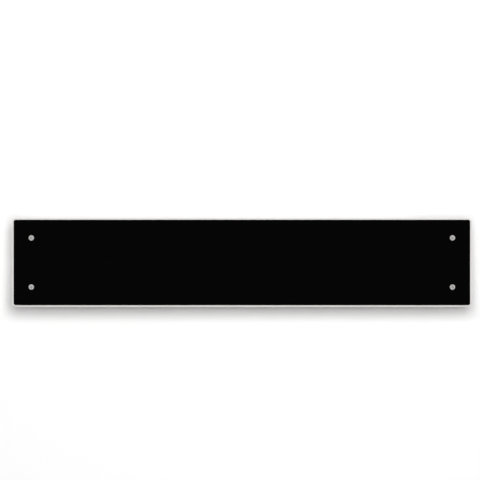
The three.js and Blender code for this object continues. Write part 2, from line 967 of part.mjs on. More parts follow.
function thermalCutout() {
  const { radius, length, collarRadius, collarLength, tabWidth, tabThickness } = cutout;
  const [y, z] = cutoutMiddle;
  const body = turned(
    'x',
    [
      [0, cutoutFace],
      [collarRadius, cutoutFace],
      [collarRadius, cutoutFace + collarLength],
      [radius, cutoutFace + collarLength],
      [radius, cutoutFace + length],
      [0, cutoutFace + length],
    ],
    cutoutMiddle,
    18,
  );
  const tabs = [-cutout.tabSpread, cutout.tabSpread].map((offset) =>
    block(
      [cutoutFace + length / 2, cutoutTabEnd],
      centred(y + offset, tabThickness),
      centred(z, tabWidth),
    ),
  );
  return join(body, ...tabs);
}

// Mains terminal block on the rear panel
const terminalHeight = terminals.rise - bodyTop;
const terminalTop = terminalHeight + terminals.height / 2;
const poleX = [-1, 0, 1].map((i) => terminalX + i * terminals.pitch);
const poleDepth = bodyInnerBack + terminals.depth / 2;

function terminalBlock() {
  const { width, height, depth, wellRadius, wellDepth, entryRadius, entryDepth } = terminals;
  const y = terminalHeight;
  const front = bodyInnerBack + depth;
  const body = block(centred(terminalX, width), centred(y, height), [bodyInnerBack, front]);
  const wells = poleX.map((x) => drum('z', wellRadius, [front - wellDepth, front + overrun], [x, y], 12));
  const entries = poleX.flatMap((x) => [
    drum('y', entryRadius, [y + height / 2 - entryDepth, y + height / 2 + overrun], [x, poleDepth], 10),
    drum('y', entryRadius, [y - height / 2 - overrun, y - height / 2 + entryDepth], [x, poleDepth], 10),
  ]);
  return cut(body, ...wells, ...entries);
}

// Bushing in the rear panel where the mains cord leaves
function cordBushingBody() {
  const { boreRadius, wall, flangeRadius, flangeThickness, innerLength, right, rise } = cordBushing;
  const seat = wallGap - seatGap;
  const neck = boreRadius + wall;
  return turned(
    'z',
    [
      [boreRadius, seat - flangeThickness],
      [flangeRadius, seat - flangeThickness],
      [flangeRadius, seat],
      [neck, seat],
      [neck, seat + innerLength],
      [boreRadius, seat + innerLength],
    ],
    [bodyRight - right, rise - bodyTop],
    24,
  );
}

// Mains switch in the right end cap
const bezelFace = bodyRight + seatGap + switchBody.bezelThickness;
const rockerPivotX = bezelFace - rocker.pivotDepth;
const switchRear = bodyRight + seatGap - switchBody.depth;
const switchTabEnd = switchRear - switchBody.tabLength;

function mainsSwitchBody() {
  const [y, z] = switchMiddle;
  const { bezelLength, bezelWidth, length, width, endClearance, pocketDepth } = switchBody;
  const bezel = block([bodyRight + seatGap, bezelFace], centred(y, bezelLength), centred(z, bezelWidth));
  const body = block([switchRear, bodyRight + 2 * seatGap], centred(y, length), centred(z, width));
  const pocket = block(
    [bezelFace - pocketDepth, bezelFace + overrun],
    centred(y, rocker.length + 2 * endClearance),
    centred(z, rocker.width + 2 * runningGap),
  );
  const pinHoleLength = rocker.width + 2 * (rocker.pinLength + runningGap);
  const pinHole = drum(
    'z',
    rocker.pinRadius + seatGap,
    centred(z, pinHoleLength),
    [rockerPivotX, y],
    12,
  );
  const tabs = [-switchBody.tabSpread, switchBody.tabSpread].map((offset) =>
    block(
      [switchTabEnd, switchRear + seatGap],
      centred(y + offset, switchBody.tabThickness),
      centred(z, switchBody.tabWidth),
    ),
  );
  return cut(join(bezel, body, ...tabs), pocket, pinHole);
}

// The rocker is drawn level about its pivot at zero, and then tilted so that its upper end stands out.
function switchRocker() {
  const [, z] = switchMiddle;
  const { length, width, pivotDepth, endRise, middleRise, heel, heelHalfWidth, pinLength } = rocker;
  const half = length / 2;
  const outline = [
    [-heel, -heelHalfWidth],
    [0, -half],
    [pivotDepth + endRise, -half],
    [pivotDepth + middleRise, 0],
    [pivotDepth + endRise, half],
    [0, half],
    [-heel, heelHalfWidth],
  ];
  const body = prism('z', outline, [-width / 2, width / 2]);
  const pin = drum('z', rocker.pinRadius, [-width / 2 - pinLength, width / 2 + pinLength], [0, 0], 12);
  const made = join(body, pin);
  made.translate(0, 0, z);
  return made;
}

// Control unit: a housing under the top grille and a bezel over it
const bezelBottom = bodyTop + seatGap;
const bezelTop = bezelBottom + control.bezelThickness;
const bezelLeft = controlX - bezelWidth / 2;
const bezelRight = controlX + bezelWidth / 2;
const buttonX = [2, 1, 0].map((i) => bezelRight - button.right - i * button.pitch);
const displayX = bezelLeft + display.left + display.width / 2;

// Lays a plate that was drawn in x and y flat, with its front face up.
function laidFlat(geometry, x, z) {
  return geometry.rotateX(-quarterTurn).translate(x, 0, z);
}

function controlBezel() {
  const { bezelRadius, bezelBevel, bezelThickness } = control;
  const slab = easedPlate(bezelWidth, bezelDepth, bezelRadius, [0, bezelThickness], bezelBevel, 2);
  const plate = laidFlat(slab, controlX, controlMiddle).translate(0, bezelBottom, 0);
  const heights = [bezelBottom - overrun, bezelTop + overrun];
  const window = block(
    centred(displayX, display.width + 2 * seatGap),
    heights,
    centred(controlMiddle, display.depth + 2 * seatGap),
  );
  const holes = buttonX.map((x) =>
    drum('y', button.radius + runningGap, heights, [x, controlMiddle], 24),
  );
  return cut(plate, window, ...holes);
}

const housing = {
  x: [controlOpening.x[0] + control.housingMargin, controlOpening.x[1] - control.housingMargin],
  z: centred(controlMiddle, bezelDepth - 2 * sheet),
  top: bodyTop - sheet - seatGap,
};
const housingFloor = housing.top - control.housingHeight;
const entryX = {
  load: housing.x[0] + control.entryWidth,
  mains: (housing.x[0] + housing.x[1]) / 2,
  sensor: housing.x[1] - control.entryWidth,
};

function controlHousing() {
  const { housingWall, postWidth, entryWidth, entryDepth } = control;
  const inward = ([a, b]) => [a + housingWall, b - housingWall];
  const shell = block(housing.x, [housingFloor, housing.top], housing.z);
  const hollow = block(
    inward(housing.x),
    [housingFloor + housingWall, housing.top + overrun],
    inward(housing.z),
  );
  const entries = Object.values(entryX).map((x) =>
    block(
      centred(x, entryWidth),
      [housingFloor - overrun, housingFloor + housingWall + overrun],
      centred(controlMiddle, entryDepth),
    ),
  );
  const posts = [
    [housing.x[0] + housingWall / 2, housing.x[0] + housingWall + postWidth],
    [housing.x[1] - housingWall - postWidth, housing.x[1] - housingWall / 2],
  ].flatMap((x) =>
    [
      [housing.z[0] + housingWall / 2, housing.z[0] + housingWall + postWidth],
      [housing.z[1] - housingWall - postWidth, housing.z[1] - housingWall / 2],
    ].map((z) => block(x, [housingFloor + housingWall / 2, boardUnder - seatGap], z)),
  );
  return join(cut(shell, hollow, ...entries), ...posts);
}

// The board carries a switch under each button and a capacitor on its underside.
function controlBoard() {
  const margin = control.housingWall + seatGap;
  const board = block(
    [housing.x[0] + margin, housing.x[1] - margin],
    [boardUnder, boardTop],
    [housing.z[0] + margin, housing.z[1] - margin],
  );
  const keys = buttonX.map((x) =>
    block(
      centred(x, keySwitch.side),
      [boardUnder + control.boardThickness / 2, boardTop + keySwitch.height],
      centred(controlMiddle, keySwitch.side),
    ),
  );
  const keyTop = boardTop + keySwitch.height;
  const wells = buttonX.map((x) =>
    drum(
      'y',
      button.stemRadius + runningGap,
      [keyTop - keySwitch.wellDepth, keyTop + overrun],
      [x, controlMiddle],
      12,
    ),
  );
  const can = drum(
    'y',
    capacitor.radius,
    [boardUnder - capacitor.height, boardUnder + control.boardThickness / 2],
    [housing.x[0] + capacitor.left, controlMiddle],
    16,
  );
  return cut(join(board, ...keys, can), ...wells);
}

function displayModule() {
  return block(
    centred(displayX, display.width),
    [boardTop + seatGap, bezelTop - display.recess],
    centred(controlMiddle, display.depth),
  );
}

// A round cap with a flange that stops under the bezel, a stem and a sunk icon.
function controlButton(x, iconSides, iconTurn) {
  const { radius, rise, flangeRadius, flangeThickness, stemRadius, iconDepth, iconRadius } = button;
  const top = bezelTop + rise;
  const flangeTop = bezelBottom - seatGap;
  const stemEnd = boardTop + keySwitch.height - keySwitch.wellDepth + button.travel + seatGap;
  const ease = rise / 2;
  const cap = turned(
    'y',
    [
      [0, stemEnd],
      [stemRadius, stemEnd],
      [stemRadius, flangeTop - flangeThickness],
      [flangeRadius, flangeTop - flangeThickness],
      [flangeRadius, flangeTop],
      [radius, flangeTop],
      [radius, top - ease],
      [radius - ease, top],
      [0, top],
    ],
    [x, controlMiddle],
    24,
  );
  const icon = new THREE.CylinderGeometry(iconRadius, iconRadius, iconDepth + overrun, iconSides);
  icon.rotateY(iconTurn).translate(x, top - iconDepth + (iconDepth + overrun) / 2, controlMiddle);
  return cut(cap, icon);
}

function underBoard({ width, depth, height }, x) {
  return block(
    centred(x, width),
    [boardUnder - seatGap - height, boardUnder - seatGap],
    centred(controlMiddle, depth),
  );
}

// Wall bracket: two channel uprights with hooks, joined by a rail, each with a lift latch
const pinHeight = bodyTop - latch.pinDrop;

function bracketUpright(sign) {
  const middle = (sign * bracket.spread) / 2;
  const { width, topInset, bottomInset, slotLength, slotWidth, screwInset } = bracket;
  const top = bodyTop - topInset;
  const bottom = bottomInset - bodyTop;
  const front = wallGap - seatGap;
  const notchFront = panelFront + seatGap;
  const nose = notchFront + hook.noseDepth;
  const { armHeight, noseRise } = hook;
  const sideOutline = [
    [0, bottom],
    [front, bottom],
    [front, notchFloor - armHeight - noseRise / 2],
    [nose, notchFloor - armHeight],
    [nose, notchFloor + noseRise / 2],
    [nose - noseRise / 2, notchFloor + noseRise],
    [notchFront, notchFloor + noseRise],
    [notchFront, notchFloor],
    [front, notchFloor],
    [front, top],
    [0, top],
  ];
  const t = bracket.sheet;
  const webs = [middle - width / 2, middle + width / 2 - t].map((x) =>
    prism('x', sideOutline, [x, x + t]),
  );
  const back = block([middle - width / 2, middle + width / 2], [bottom, top], [0, t]);
  const span = [-overrun, t + overrun];
  const screwSlots = [top - screwInset, bottom + screwInset].flatMap((y) => {
    const reach = (slotLength - slotWidth) / 2;
    return [
      block([middle - reach, middle + reach], [y - slotWidth / 2, y + slotWidth / 2], span),
      drum('z', slotWidth / 2, span, [middle - reach, y], 12),
      drum('z', slotWidth / 2, span, [middle + reach, y], 12),
    ];
  });
  const pinHole = drum('z', latch.pinRadius + seatGap, span, [middle, pinHeight], 16);
  return cut(join(back, ...webs), ...screwSlots, pinHole);
}

function bracketRail() {
  const half = bracket.spread / 2 - bracket.width / 2 - seatGap;
  const reach = bracket.railHeight / 2;
  const t = bracket.sheet;
  const outline = [
    [0, -reach],
    [bracket.railLip, -reach],
    [bracket.railLip, -reach + t],
    [t, -reach + t],
    [t, reach - t],
    [bracket.railLip, reach - t],
    [bracket.railLip, reach],
    [0, reach],
  ];
  return prism('x', outline, [-half, half]);
}

// Latch: a slider whose nose goes through the rear panel and hooks down behind its edge.
const latchBack = bracket.sheet + seatGap;
const latchFront = latchBack + latch.thickness;

function bracketLatch(sign) {
  const middle = (sign * bracket.spread) / 2;
  const { topRise, tail, travel, pinRadius, armWidth, armHeight } = latch;
  const top = bodyTop + topRise;
  const width = bracket.width - 2 * (bracket.sheet + runningGap);
  const across = (size) => centred(middle, size);
  const armTop = armBottom + armHeight;
  const lipBack = panelFront + runningGap;
  const lipFront = lipBack + latch.lipThickness;
  const slotLow = pinHeight - pinRadius - runningGap - travel;
  const plate = block(across(width), [slotLow - tail, top], [latchBack, latchFront]);
  const arm = block(across(armWidth), [armBottom, armTop], [latchFront - seatGap, lipFront]);
  const lip = block(across(armWidth), [armBottom - latch.lipDrop, armTop], [lipBack, lipFront]);
  const tab = block(
    across(width),
    [top - latch.thickness, top],
    [latchFront - seatGap, latchBack + latch.tabDepth],
  );
  const slotHalf = pinRadius + runningGap;
  const slotTop = pinHeight + pinRadius + seatGap - slotHalf;
  const slotBottom = slotLow + slotHalf;
  const span = [latchBack - overrun, latchFront + overrun];
  const slot = [
    block([middle - slotHalf, middle + slotHalf], [slotBottom, slotTop], span),
    drum('z', slotHalf, span, [middle, slotTop], 16),
    drum('z', slotHalf, span, [middle, slotBottom], 16),
  ];
  return cut(join(plate, arm, lip, tab), ...slot);
}

function latchPin(sign) {
  const headBack = latchFront + seatGap;
  const headFront = headBack + latch.pinHeadThickness;
  return turned(
    'z',
    [
      [0, seatGap],
      [latch.pinRadius, seatGap],
      [latch.pinRadius, headBack],
      [latch.pinHeadRadius, headBack],
      [latch.pinHeadRadius, headFront - seatGap],
      [latch.pinHeadRadius - seatGap, headFront],
      [0, headFront],
    ],
    [(sign * bracket.spread) / 2, pinHeight],
    16,
  );
}

// Air sensor on the bottom grille, moulded on its lead from the control unit
function airSensorAndLead() {
  const x = bodyRight - airSensor.right;
  const z = bodyMiddle;
  const floor = -bodyTop + sheet + seatGap;
  const { footRadius, footThickness, postRadius, postHeight, beadRadius, beadLength } = airSensor;
  const postTop = floor + footThickness + postHeight;
  const beadTop = postTop + beadLength;
  const body = turned(
    'y',
    [
      [0, floor],
      [footRadius, floor],
      [footRadius, floor + footThickness],
      [postRadius, floor + footThickness],
      [postRadius, postTop],
      [beadRadius, postTop],
      [beadRadius, beadTop],
      [0, beadTop],
    ],
    [x, z],
    14,
  );
  const laneZ = trayRear - 2 * beadRadius;
  const lead = wire(
    [
      [x, beadTop - seatGap, z],
      [x, beadTop + beadLength, z],
      [x, switchMiddle[0], laneZ],
      [x, 0, laneZ],
      [entryX.sensor - 2 * footRadius, housingFloor / 2, laneZ - footRadius],
      [entryX.sensor, housingFloor - 2 * footRadius, controlMiddle],
      [entryX.sensor, housingFloor + control.housingWall, controlMiddle],
    ],
    leadRadius,
    28,
  );
  return join(body, lead);
}

// Wiring, each run from one terminal to the next
function wireRuns() {
  const [elementY, elementZ] = elementMiddle;
  const pinTip = {
    left: elementLeft - element.rodOverhang - element.pinLength - seatGap,
    right: elementRight + element.rodOverhang + element.pinLength + seatGap,
  };
  const exit = terminalTop - terminals.entryDepth + seatGap;
  const [switchY, switchZ] = switchMiddle;
  const [cutoutY, cutoutZ] = cutoutMiddle;
  const tabX = cutoutTabEnd + seatGap;
  const bend = wireBend;
  const laneDepth = panelFront + rearPanel.beadDepth + runningGap + wireRadius;
  const studX = bodyRight - earthStud.right;
  const studFace = studX + earthStud.radius + seatGap;
  const laneEnd = elementLeft - element.rodOverhang;
  const entryHeight = housingFloor + control.housingWall;
  return {
    wire_live: {
      look: finish.brownWire,
      steps: 16,
      points: [
        [poleX[2], exit, poleDepth],
        [poleX[2], terminalTop + bend, poleDepth],
        [poleX[2] + 2 * bend, switchY + switchBody.tabSpread + bend, switchZ - bend],
        [switchTabEnd - bend, switchY + switchBody.tabSpread, switchZ],
        [switchTabEnd - seatGap, switchY + switchBody.tabSpread, switchZ],
      ],
    },
    wire_switched: {
      look: finish.redWire,
      steps: 20,
      points: [
        [switchTabEnd - seatGap, switchY - switchBody.tabSpread, switchZ],
        [switchTabEnd - bend, switchY - switchBody.tabSpread, switchZ],
        [switchTabEnd - 2 * bend, switchY, switchZ + bend],
        [entryX.mains + bend, 0, switchZ + bend / 2],
        [entryX.mains, housingFloor - bend, controlMiddle],
        [entryX.mains, entryHeight, controlMiddle],
      ],
    },
    wire_load: {
      look: finish.redWire,
      steps: 16,
      points: [
        [entryX.load, entryHeight, controlMiddle],
        [entryX.load, housingFloor - bend, controlMiddle],
        [entryX.load - bend, 0, cutoutZ],
        [tabX + bend, cutoutY + cutout.tabSpread, cutoutZ],
        [tabX, cutoutY + cutout.tabSpread, cutoutZ],
      ],
    },
    wire_element: {
      look: finish.redWire,
      steps: 16,
      points: [
        [tabX, cutoutY - cutout.tabSpread, cutoutZ],
        [tabX + bend / 2, cutoutY - cutout.tabSpread, cutoutZ],
        [tabX + 1.5 * bend, (cutoutY + elementY) / 2, cutoutZ],
        [pinTip.right + bend / 2, elementY, elementZ],
        [pinTip.right, elementY, elementZ],
      ],
    },
    wire_neutral: {
      look: finish.blueWire,
      steps: 56,
      points: [
        [poleX[1], exit, poleDepth],
        [poleX[1], terminalTop + bend, poleDepth],
        [terminalX - bend, laneHeight - bend, laneDepth + rearPanel.beadDepth],
        [studX - bend, laneHeight, laneDepth + seatGap],
        [studX - 2 * bend, laneHeight, laneDepth],
        [elementRight, laneHeight, laneDepth],
        [0, laneHeight, laneDepth],
        [elementLeft + bend, laneHeight, laneDepth],
        [elementLeft, laneHeight, laneDepth],
        [laneEnd - bend, laneHeight - bend, laneDepth + rearPanel.beadDepth],
        [pinTip.left - bend, elementY / 2, elementZ - bend],
        [pinTip.left - bend, elementY + bend, elementZ - bend / 3],
        [pinTip.left - bend / 2, elementY, elementZ],
        [pinTip.left, elementY, elementZ],
      ],
    },
    wire_earth: {
      look: finish.earthWire,
      steps: 12,
      points: [
        [poleX[0], exit, poleDepth],
        [poleX[0], terminalTop + bend / 2, poleDepth],
        [poleX[0] - bend / 2, earthStudHeight - bend / 3, poleDepth],
        [studFace + bend / 2, earthStudHeight, poleDepth],
        [studFace, earthStudHeight, poleDepth],
      ],
    },
  };
}

add('front_glass', frontGlass(), finish.blackGlass);
for (const { name, x, y } of corners) {
  add(`glass_screw_${name}`, buttonHeadScrew(x, y), finish.stainless);
  add(`glass_grommet_${name}`, glassGrommet(x, y), finish.rubber);
  add(`rivet_nut_${name}`, blindRivetNut(x, y), finish.zinc);
}

add('front_tray', frontTray(), finish.whitePaint);
add('rear_panel', rearPanelSheet(), finish.whitePaint);
add('top_grille', topGrille(), finish.whitePaint);
add('bottom_grille', bottomGrille(), finish.whitePaint);
rearScrewPlaces.forEach(({ x, y }, i) => {
  add(`rear_screw_${i + 1}`, rearPanelScrew(x, y), finish.zinc);
});

for (const { name, sign } of sides) {
  add(`end_cap_${name}`, endCap(sign), finish.whitePaint);
  add(`element_bracket_${name}`, elementBracketSheet(sign), finish.zinc);
  add(`element_bush_${name}`, elementBush(sign), finish.ceramic);
  add(`bracket_upright_${name}`, bracketUpright(sign), finish.zinc);
  add(`bracket_latch_${name}`, bracketLatch(sign), finish.whitePlastic);
  add(`latch_pin_${name}`, latchPin(sign), finish.zinc);
}
add('bracket_rail', bracketRail(), finish.zinc);

add('element_fins', elementFins(), finish.aluminium);
add('element_rod', elementRod(), finish.stainless);
add('heat_shield', heatShield(), finish.zinc);
add('thermal_cutout', thermalCutout(), finish.blackPlastic);
add('terminal_block', terminalBlock(), finish.whitePlastic);
add('cord_bushing', cordBushingBody(), finish.blackPlastic);

add('switch_body', mainsSwitchBody(), finish.blackPlastic);
const rockerMesh = add('switch_rocker', switchRocker(), finish.blackPlastic);
rockerMesh.position.set(rockerPivotX, switchMiddle[0], 0);
rockerMesh.rotation.z = -THREE.MathUtils.degToRad(rocker.tilt);

add('control_housing', controlHousing(), finish.blackPlastic);
add('control_bezel', controlBezel(), finish.blackPlastic);
add('control_board', controlBoard(), finish.board);
add('display_module', displayModule(), finish.smokedWindow);
// Read from the front, the first arrow points up, towards the wall, and the second down.
add('button_up', controlButton(buttonX[0], 3, 2 * quarterTurn), finish.blackPlastic);
add('button_down', controlButton(buttonX[1], 3, 0), finish.blackPlastic);
add('button_select', controlButton(buttonX[2], 16, 0), finish.blackPlastic);
add('power_relay', underBoard(relay, housing.x[0] + relay.left), finish.blueCase);
add('wireless_module', underBoard(wireless, housing.x[1] - wireless.right), finish.zinc);
add('air_sensor', airSensorAndLead(), finish.blackPlastic);
for (const [name, { look, steps, points }] of Object.entries(wireRuns())) {
  add(name, wire(points, wireRadius, steps), look);
}

// Stands the face-on model upright: its z, out from the wall, becomes -Y, and its y becomes Z.
radiator.rotation.x = quarterTurn;

export default radiator;
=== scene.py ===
import math
from functools import partialmethod

import bmesh
import bpy
from bpy.props import FloatProperty, FloatVectorProperty, PointerProperty, StringProperty
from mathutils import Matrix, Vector
from mathutils.geometry import tessellate_polygon


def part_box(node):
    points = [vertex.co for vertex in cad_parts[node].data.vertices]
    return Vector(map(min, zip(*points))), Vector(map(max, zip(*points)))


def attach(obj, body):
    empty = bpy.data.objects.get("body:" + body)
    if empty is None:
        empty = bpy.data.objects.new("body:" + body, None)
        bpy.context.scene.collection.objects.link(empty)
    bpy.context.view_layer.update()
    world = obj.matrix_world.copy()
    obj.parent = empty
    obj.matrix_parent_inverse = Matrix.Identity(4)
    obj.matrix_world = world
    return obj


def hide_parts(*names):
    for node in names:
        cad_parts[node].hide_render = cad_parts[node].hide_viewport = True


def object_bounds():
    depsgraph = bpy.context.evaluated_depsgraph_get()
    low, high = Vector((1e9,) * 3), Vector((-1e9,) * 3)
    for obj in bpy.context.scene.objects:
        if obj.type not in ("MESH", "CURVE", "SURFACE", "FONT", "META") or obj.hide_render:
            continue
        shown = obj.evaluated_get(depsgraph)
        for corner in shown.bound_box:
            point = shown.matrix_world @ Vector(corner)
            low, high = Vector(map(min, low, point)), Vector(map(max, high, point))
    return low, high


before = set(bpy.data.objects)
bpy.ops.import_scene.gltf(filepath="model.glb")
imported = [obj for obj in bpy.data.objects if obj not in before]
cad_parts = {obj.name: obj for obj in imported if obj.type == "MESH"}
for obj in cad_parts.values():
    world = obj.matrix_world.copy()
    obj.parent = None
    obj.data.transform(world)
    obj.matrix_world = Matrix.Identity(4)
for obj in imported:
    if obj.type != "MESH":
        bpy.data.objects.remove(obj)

bl_info = {
    "name": "Electric radiator",
    "version": (1, 0, 0),
    "blender": (4, 5, 0),
    "location": "3D View > Sidebar > Radiator",
    "description": "Dresses a wall-hung electric radiator with a black glass front",
    "category": "Object",
}

cad_low, cad_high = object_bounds()

# Sizes are in millimetres: x to the right, d out from the wall and z up.
MM = 0.001
QUARTER = math.pi / 2

# Planes that the pieces share, by their distance from the wall
WALL_GAP, PANEL_FRONT = 18.0, 19.0
TRAY_REAR, TRAY_INSIDE, TRAY_FRONT, RIM_FRONT = 63.0, 74.0, 75.0, 81.5
GLASS_BACK, GLASS_FRONT = 79.0, 84.0

# Other sizes and places that they share
CONTACT = 0.02  # between faces that rest on each other
SHEET, FOLD_RADIUS, FOLD_SPAN = 1.0, 2.0, (19.3, 73.7)
RIM_WIDTH = 4.35
BODY_RIGHT, BODY_TOP = 575.0, 97.0
UPRIGHT_X = 300.0
CORD_OUTLET = (535, -70)
CONTROL_X, CONTROL_D, BEZEL_TOP = 508, 42.0, 102.3
BUTTON_X = {"up": 517.0, "down": 534.0, "select": 551.0}
SWITCH_Z, SWITCH_D = -35.0, 46.5
GLASS_CORNERS = [
    (f"{height}_{side}", across * 544.25, up * 63.5)
    for height, up in (("upper", 1), ("lower", -1))
    for side, across in (("left", -1), ("right", 1))
]


def at(x, d, z):
    return Vector((x * MM, -d * MM, z * MM))


def facing_front(u, v, w):
    return at(u, w, v)


def facing_up(u, v, w):
    return at(u, v, w)


def facing_down(u, v, w):
    return at(u, v, -w)


def facing_right(u, v, w):
    return at(w, v, u)


def facing_left(u, v, w):
    return at(-w, v, u)


# Materials


class Value:
    """A number that varies over a surface. Arithmetic on it adds Math nodes to its graph."""

    def __init__(self, graph, socket):
        self.graph = graph
        self.socket = socket

    def math(self, operation, *others, clamp=False, reflected=False):
        settings = {"operation": operation, "use_clamp": clamp}
        inputs = (*others, self) if reflected else (self, *others)
        return self.graph.value("ShaderNodeMath", 0, settings, enumerate(inputs))

    __add__ = __radd__ = partialmethod(math, "ADD")
    __mul__ = __rmul__ = partialmethod(math, "MULTIPLY")
    __sub__ = partialmethod(math, "SUBTRACT")
    __rsub__ = partialmethod(math, "SUBTRACT", reflected=True)
    __gt__ = partialmethod(math, "GREATER_THAN")
    clamped = partialmethod(math, "ADD", 0.0, clamp=True)
    magnitude = partialmethod(math, "ABSOLUTE")
    greater = partialmethod(math, "MAXIMUM")

    def ramp(self, low, high):
        """0 below low and 1 above high, smooth between them."""
        settings = {"interpolation_type": "SMOOTHSTEP"}
        inputs = {"Value": self, "From Min": low, "From Max": high}
        return self.graph.value("ShaderNodeMapRange", 0, settings, inputs)


class Graph:
    """The nodes of one material or of the world."""

    def __init__(self, tree):
        self.tree = tree
        tree.nodes.clear()

    def node(self, kind, settings=(), inputs=()):
        made = self.tree.nodes.new(kind)
        for key, setting in dict(settings).items():
            setattr(made, key, setting)
        for key, given in dict(inputs).items():
            given = given.socket if isinstance(given, Value) else given
            if isinstance(given, bpy.types.NodeSocket):
                self.tree.links.new(given, made.inputs[key])
            else:
                made.inputs[key].default_value = given
        return made

    def value(self, kind, output=0, settings=(), inputs=()):
        return Value(self, self.node(kind, settings, inputs).outputs[output])

    def place(self, stretch=(1, 1, 1)):
        """The point on the piece, in metres, drawn out along an axis where stretch is under 1."""
        point = self.node("ShaderNodeTexCoord").outputs["Object"]
        made = self.node("ShaderNodeVectorMath", {"operation": "MULTIPLY"}, {0: point, 1: stretch})
        return made.outputs[0]

    def radius(self):
        """The distance from the axis that a piece is turned about."""
        inputs = {0: self.place((1, 0, 1))}
        return self.value("ShaderNodeVectorMath", "Value", {"operation": "LENGTH"}, inputs)

    def along(self, axis):
        return self.value("ShaderNodeSeparateXYZ", axis, {}, {0: self.place()})

    def noise(self, scale, detail=2.0, stretch=(1, 1, 1)):
        """Cloudy values from 0 to 1, with scale features in a metre."""
        inputs = {"Vector": self.place(stretch), "Scale": scale, "Detail": detail}
        return self.value("ShaderNodeTexNoise", 0, {}, inputs)

    def rings(self, distance, scale):
        """Uneven values from 0 to 1 that follow one distance."""
        inputs = {"W": distance, "Scale": scale, "Detail": 2.0}
        return self.value("ShaderNodeTexNoise", 0, {"noise_dimensions": "1D"}, inputs)

    def cells(self, scale, stretch=(1, 1, 1)):
        inputs = {"Vector": self.place(stretch), "Scale": scale}
        return self.value("ShaderNodeTexVoronoi", "Distance", {}, inputs)

    def grains(self, scale):
        """One value from 0 to 1 for each crystal of a plated surface."""
        made = self.node("ShaderNodeTexVoronoi", {}, {"Vector": self.place(), "Scale": scale})
        return self.value("ShaderNodeSeparateColor", 0, {}, {0: made.outputs["Color"]})

    def mix(self, mask, first, second):
        """The first colour where the mask is 0, and the second where it is 1."""
        inputs = {0: mask, 6: first, 7: second}
        return self.node("ShaderNodeMix", {"data_type": "RGBA"}, inputs).outputs[2]

    def shades(self, mask, colour, first, second):
        """One colour, at the first level where the mask is 0 and at the second where it is 1."""
        return self.mix(mask, tint(colour, first), tint(colour, second))

    def light_path(self, kind):
        return self.value("ShaderNodeLightPath", kind)

    def surface(self, colour, roughness, height=None, depth=0.0, **others):
        """The shader, with a bump of that depth in millimetres where a height is given."""
        inputs = {"Base Color": colour, "Roughness": roughness, **others}
        if height is not None:
            bump = {"Strength": 1.0, "Distance": depth * MM, "Height": height}
            inputs["Normal"] = self.node("ShaderNodeBump", {}, bump).outputs[0]
        self.finish(self.node("ShaderNodeBsdfPrincipled", {}, inputs).outputs[0])

    def finish(self, shader, output="ShaderNodeOutputMaterial"):
        self.node(output, {}, {"Surface": shader})


def tint(colour, level=1.0):
    return (*(level * c for c in colour[:3]), 1.0)


def black_glass(graph, colours):
    """Back-printed black glass, with the faint smear that cleaning leaves."""
    smear = graph.noise(9, 4, (0.35, 1, 1))
    graph.surface(tint(colours.glass), 0.02 + 0.05 * smear.ramp(0.45, 0.8), IOR=1.5)


def ground_edge(graph, colours):
    """The ground and polished edge, where the glass shows a trace of green."""
    grinding = graph.noise(900, stretch=(0.05, 1, 1))
    colour = graph.shades(grinding, colours.glass_edge, 1.0, 1.8)
    graph.surface(colour, 0.16 + 0.18 * grinding, IOR=1.5)


def powder_coat(graph, colours):
    """Fine textured powder coat over pressed steel."""
    grain, peel = graph.noise(1500), graph.noise(330, 1)
    colour = graph.shades(graph.noise(6, 3).ramp(0.3, 0.7), colours.paint, 0.975, 1.0)
    graph.surface(colour, 0.42 + 0.16 * grain, 0.6 * grain + 0.8 * peel, depth=0.05)


def turned_steel(graph, colours):
    """Stainless steel with the rings that a lathe leaves, blasted matt, so that it also scatters light."""
    rings = graph.rings(graph.radius(), 6000)
    colour = graph.shades(graph.noise(260, 3), colours.steel, 0.92, 1.0)
    graph.surface(colour, 0.42 + 0.16 * rings, rings, depth=0.01, Metallic=0.68)


def drawn_steel(graph, colours):
    """The drawn sheath of the heating rod, browned here and there by heat."""
    scratches = graph.noise(2500, stretch=(0.02, 1, 1))
    colour = graph.mix(graph.noise(30, 3), tint(colours.steel, 0.75), tint(colours.heat_stain))
    graph.surface(colour, 0.3 + 0.2 * scratches, scratches, depth=0.01, Metallic=1.0)


def zinc_plate(graph, colours):
    """Zinc plate, clouded from crystal to crystal."""
    grains, cloud = graph.grains(420), graph.noise(45, 3)
    rolling = graph.noise(1800, stretch=(1, 1, 0.03))
    tone = (0.45 * grains + 0.55 * cloud).ramp(0.25, 0.75)
    colour = graph.shades(tone, colours.zinc, 0.82, 1.06)
    roughness = 0.3 + 0.16 * grains + 0.06 * rolling
    graph.surface(colour, roughness, 0.5 * rolling + 0.5 * cloud, depth=0.012, Metallic=1.0)


def bright_zinc(graph, colours):
    """Smooth zinc plate, as small fixings have it."""
    scuff = graph.noise(2600)
    colour = graph.shades(graph.noise(500, 3), colours.zinc, 1.1, 1.3)
    graph.surface(colour, 0.24 + 0.14 * scuff, scuff, depth=0.004, Metallic=1.0)


def rubber(graph, colours):
    """Moulded rubber with a bloom of dust."""
    bloom = graph.noise(220, 4)
    colour = graph.shades(bloom.ramp(0.4, 0.8), colours.rubber, 1.0, 1.9)
    graph.surface(colour, 0.66 + 0.2 * bloom, graph.noise(2600), depth=0.03)


def textured_plastic(graph, colours):
    """Black plastic from a spark-eroded mould."""
    grain = graph.cells(1900)
    colour = graph.shades(graph.noise(40, 3), colours.plastic, 0.85, 1.2)
    graph.surface(colour, 0.42 + 0.2 * grain.clamped(), grain, depth=0.035)


def satin_plastic(graph, colours):
    """Smooth black plastic, polished a little where fingers touch it."""
    touch = graph.noise(300, 3)
    colour = graph.shades(touch, colours.plastic, 1.0, 1.3)
    graph.surface(colour, 0.26 + 0.16 * touch, graph.noise(1500), depth=0.008)


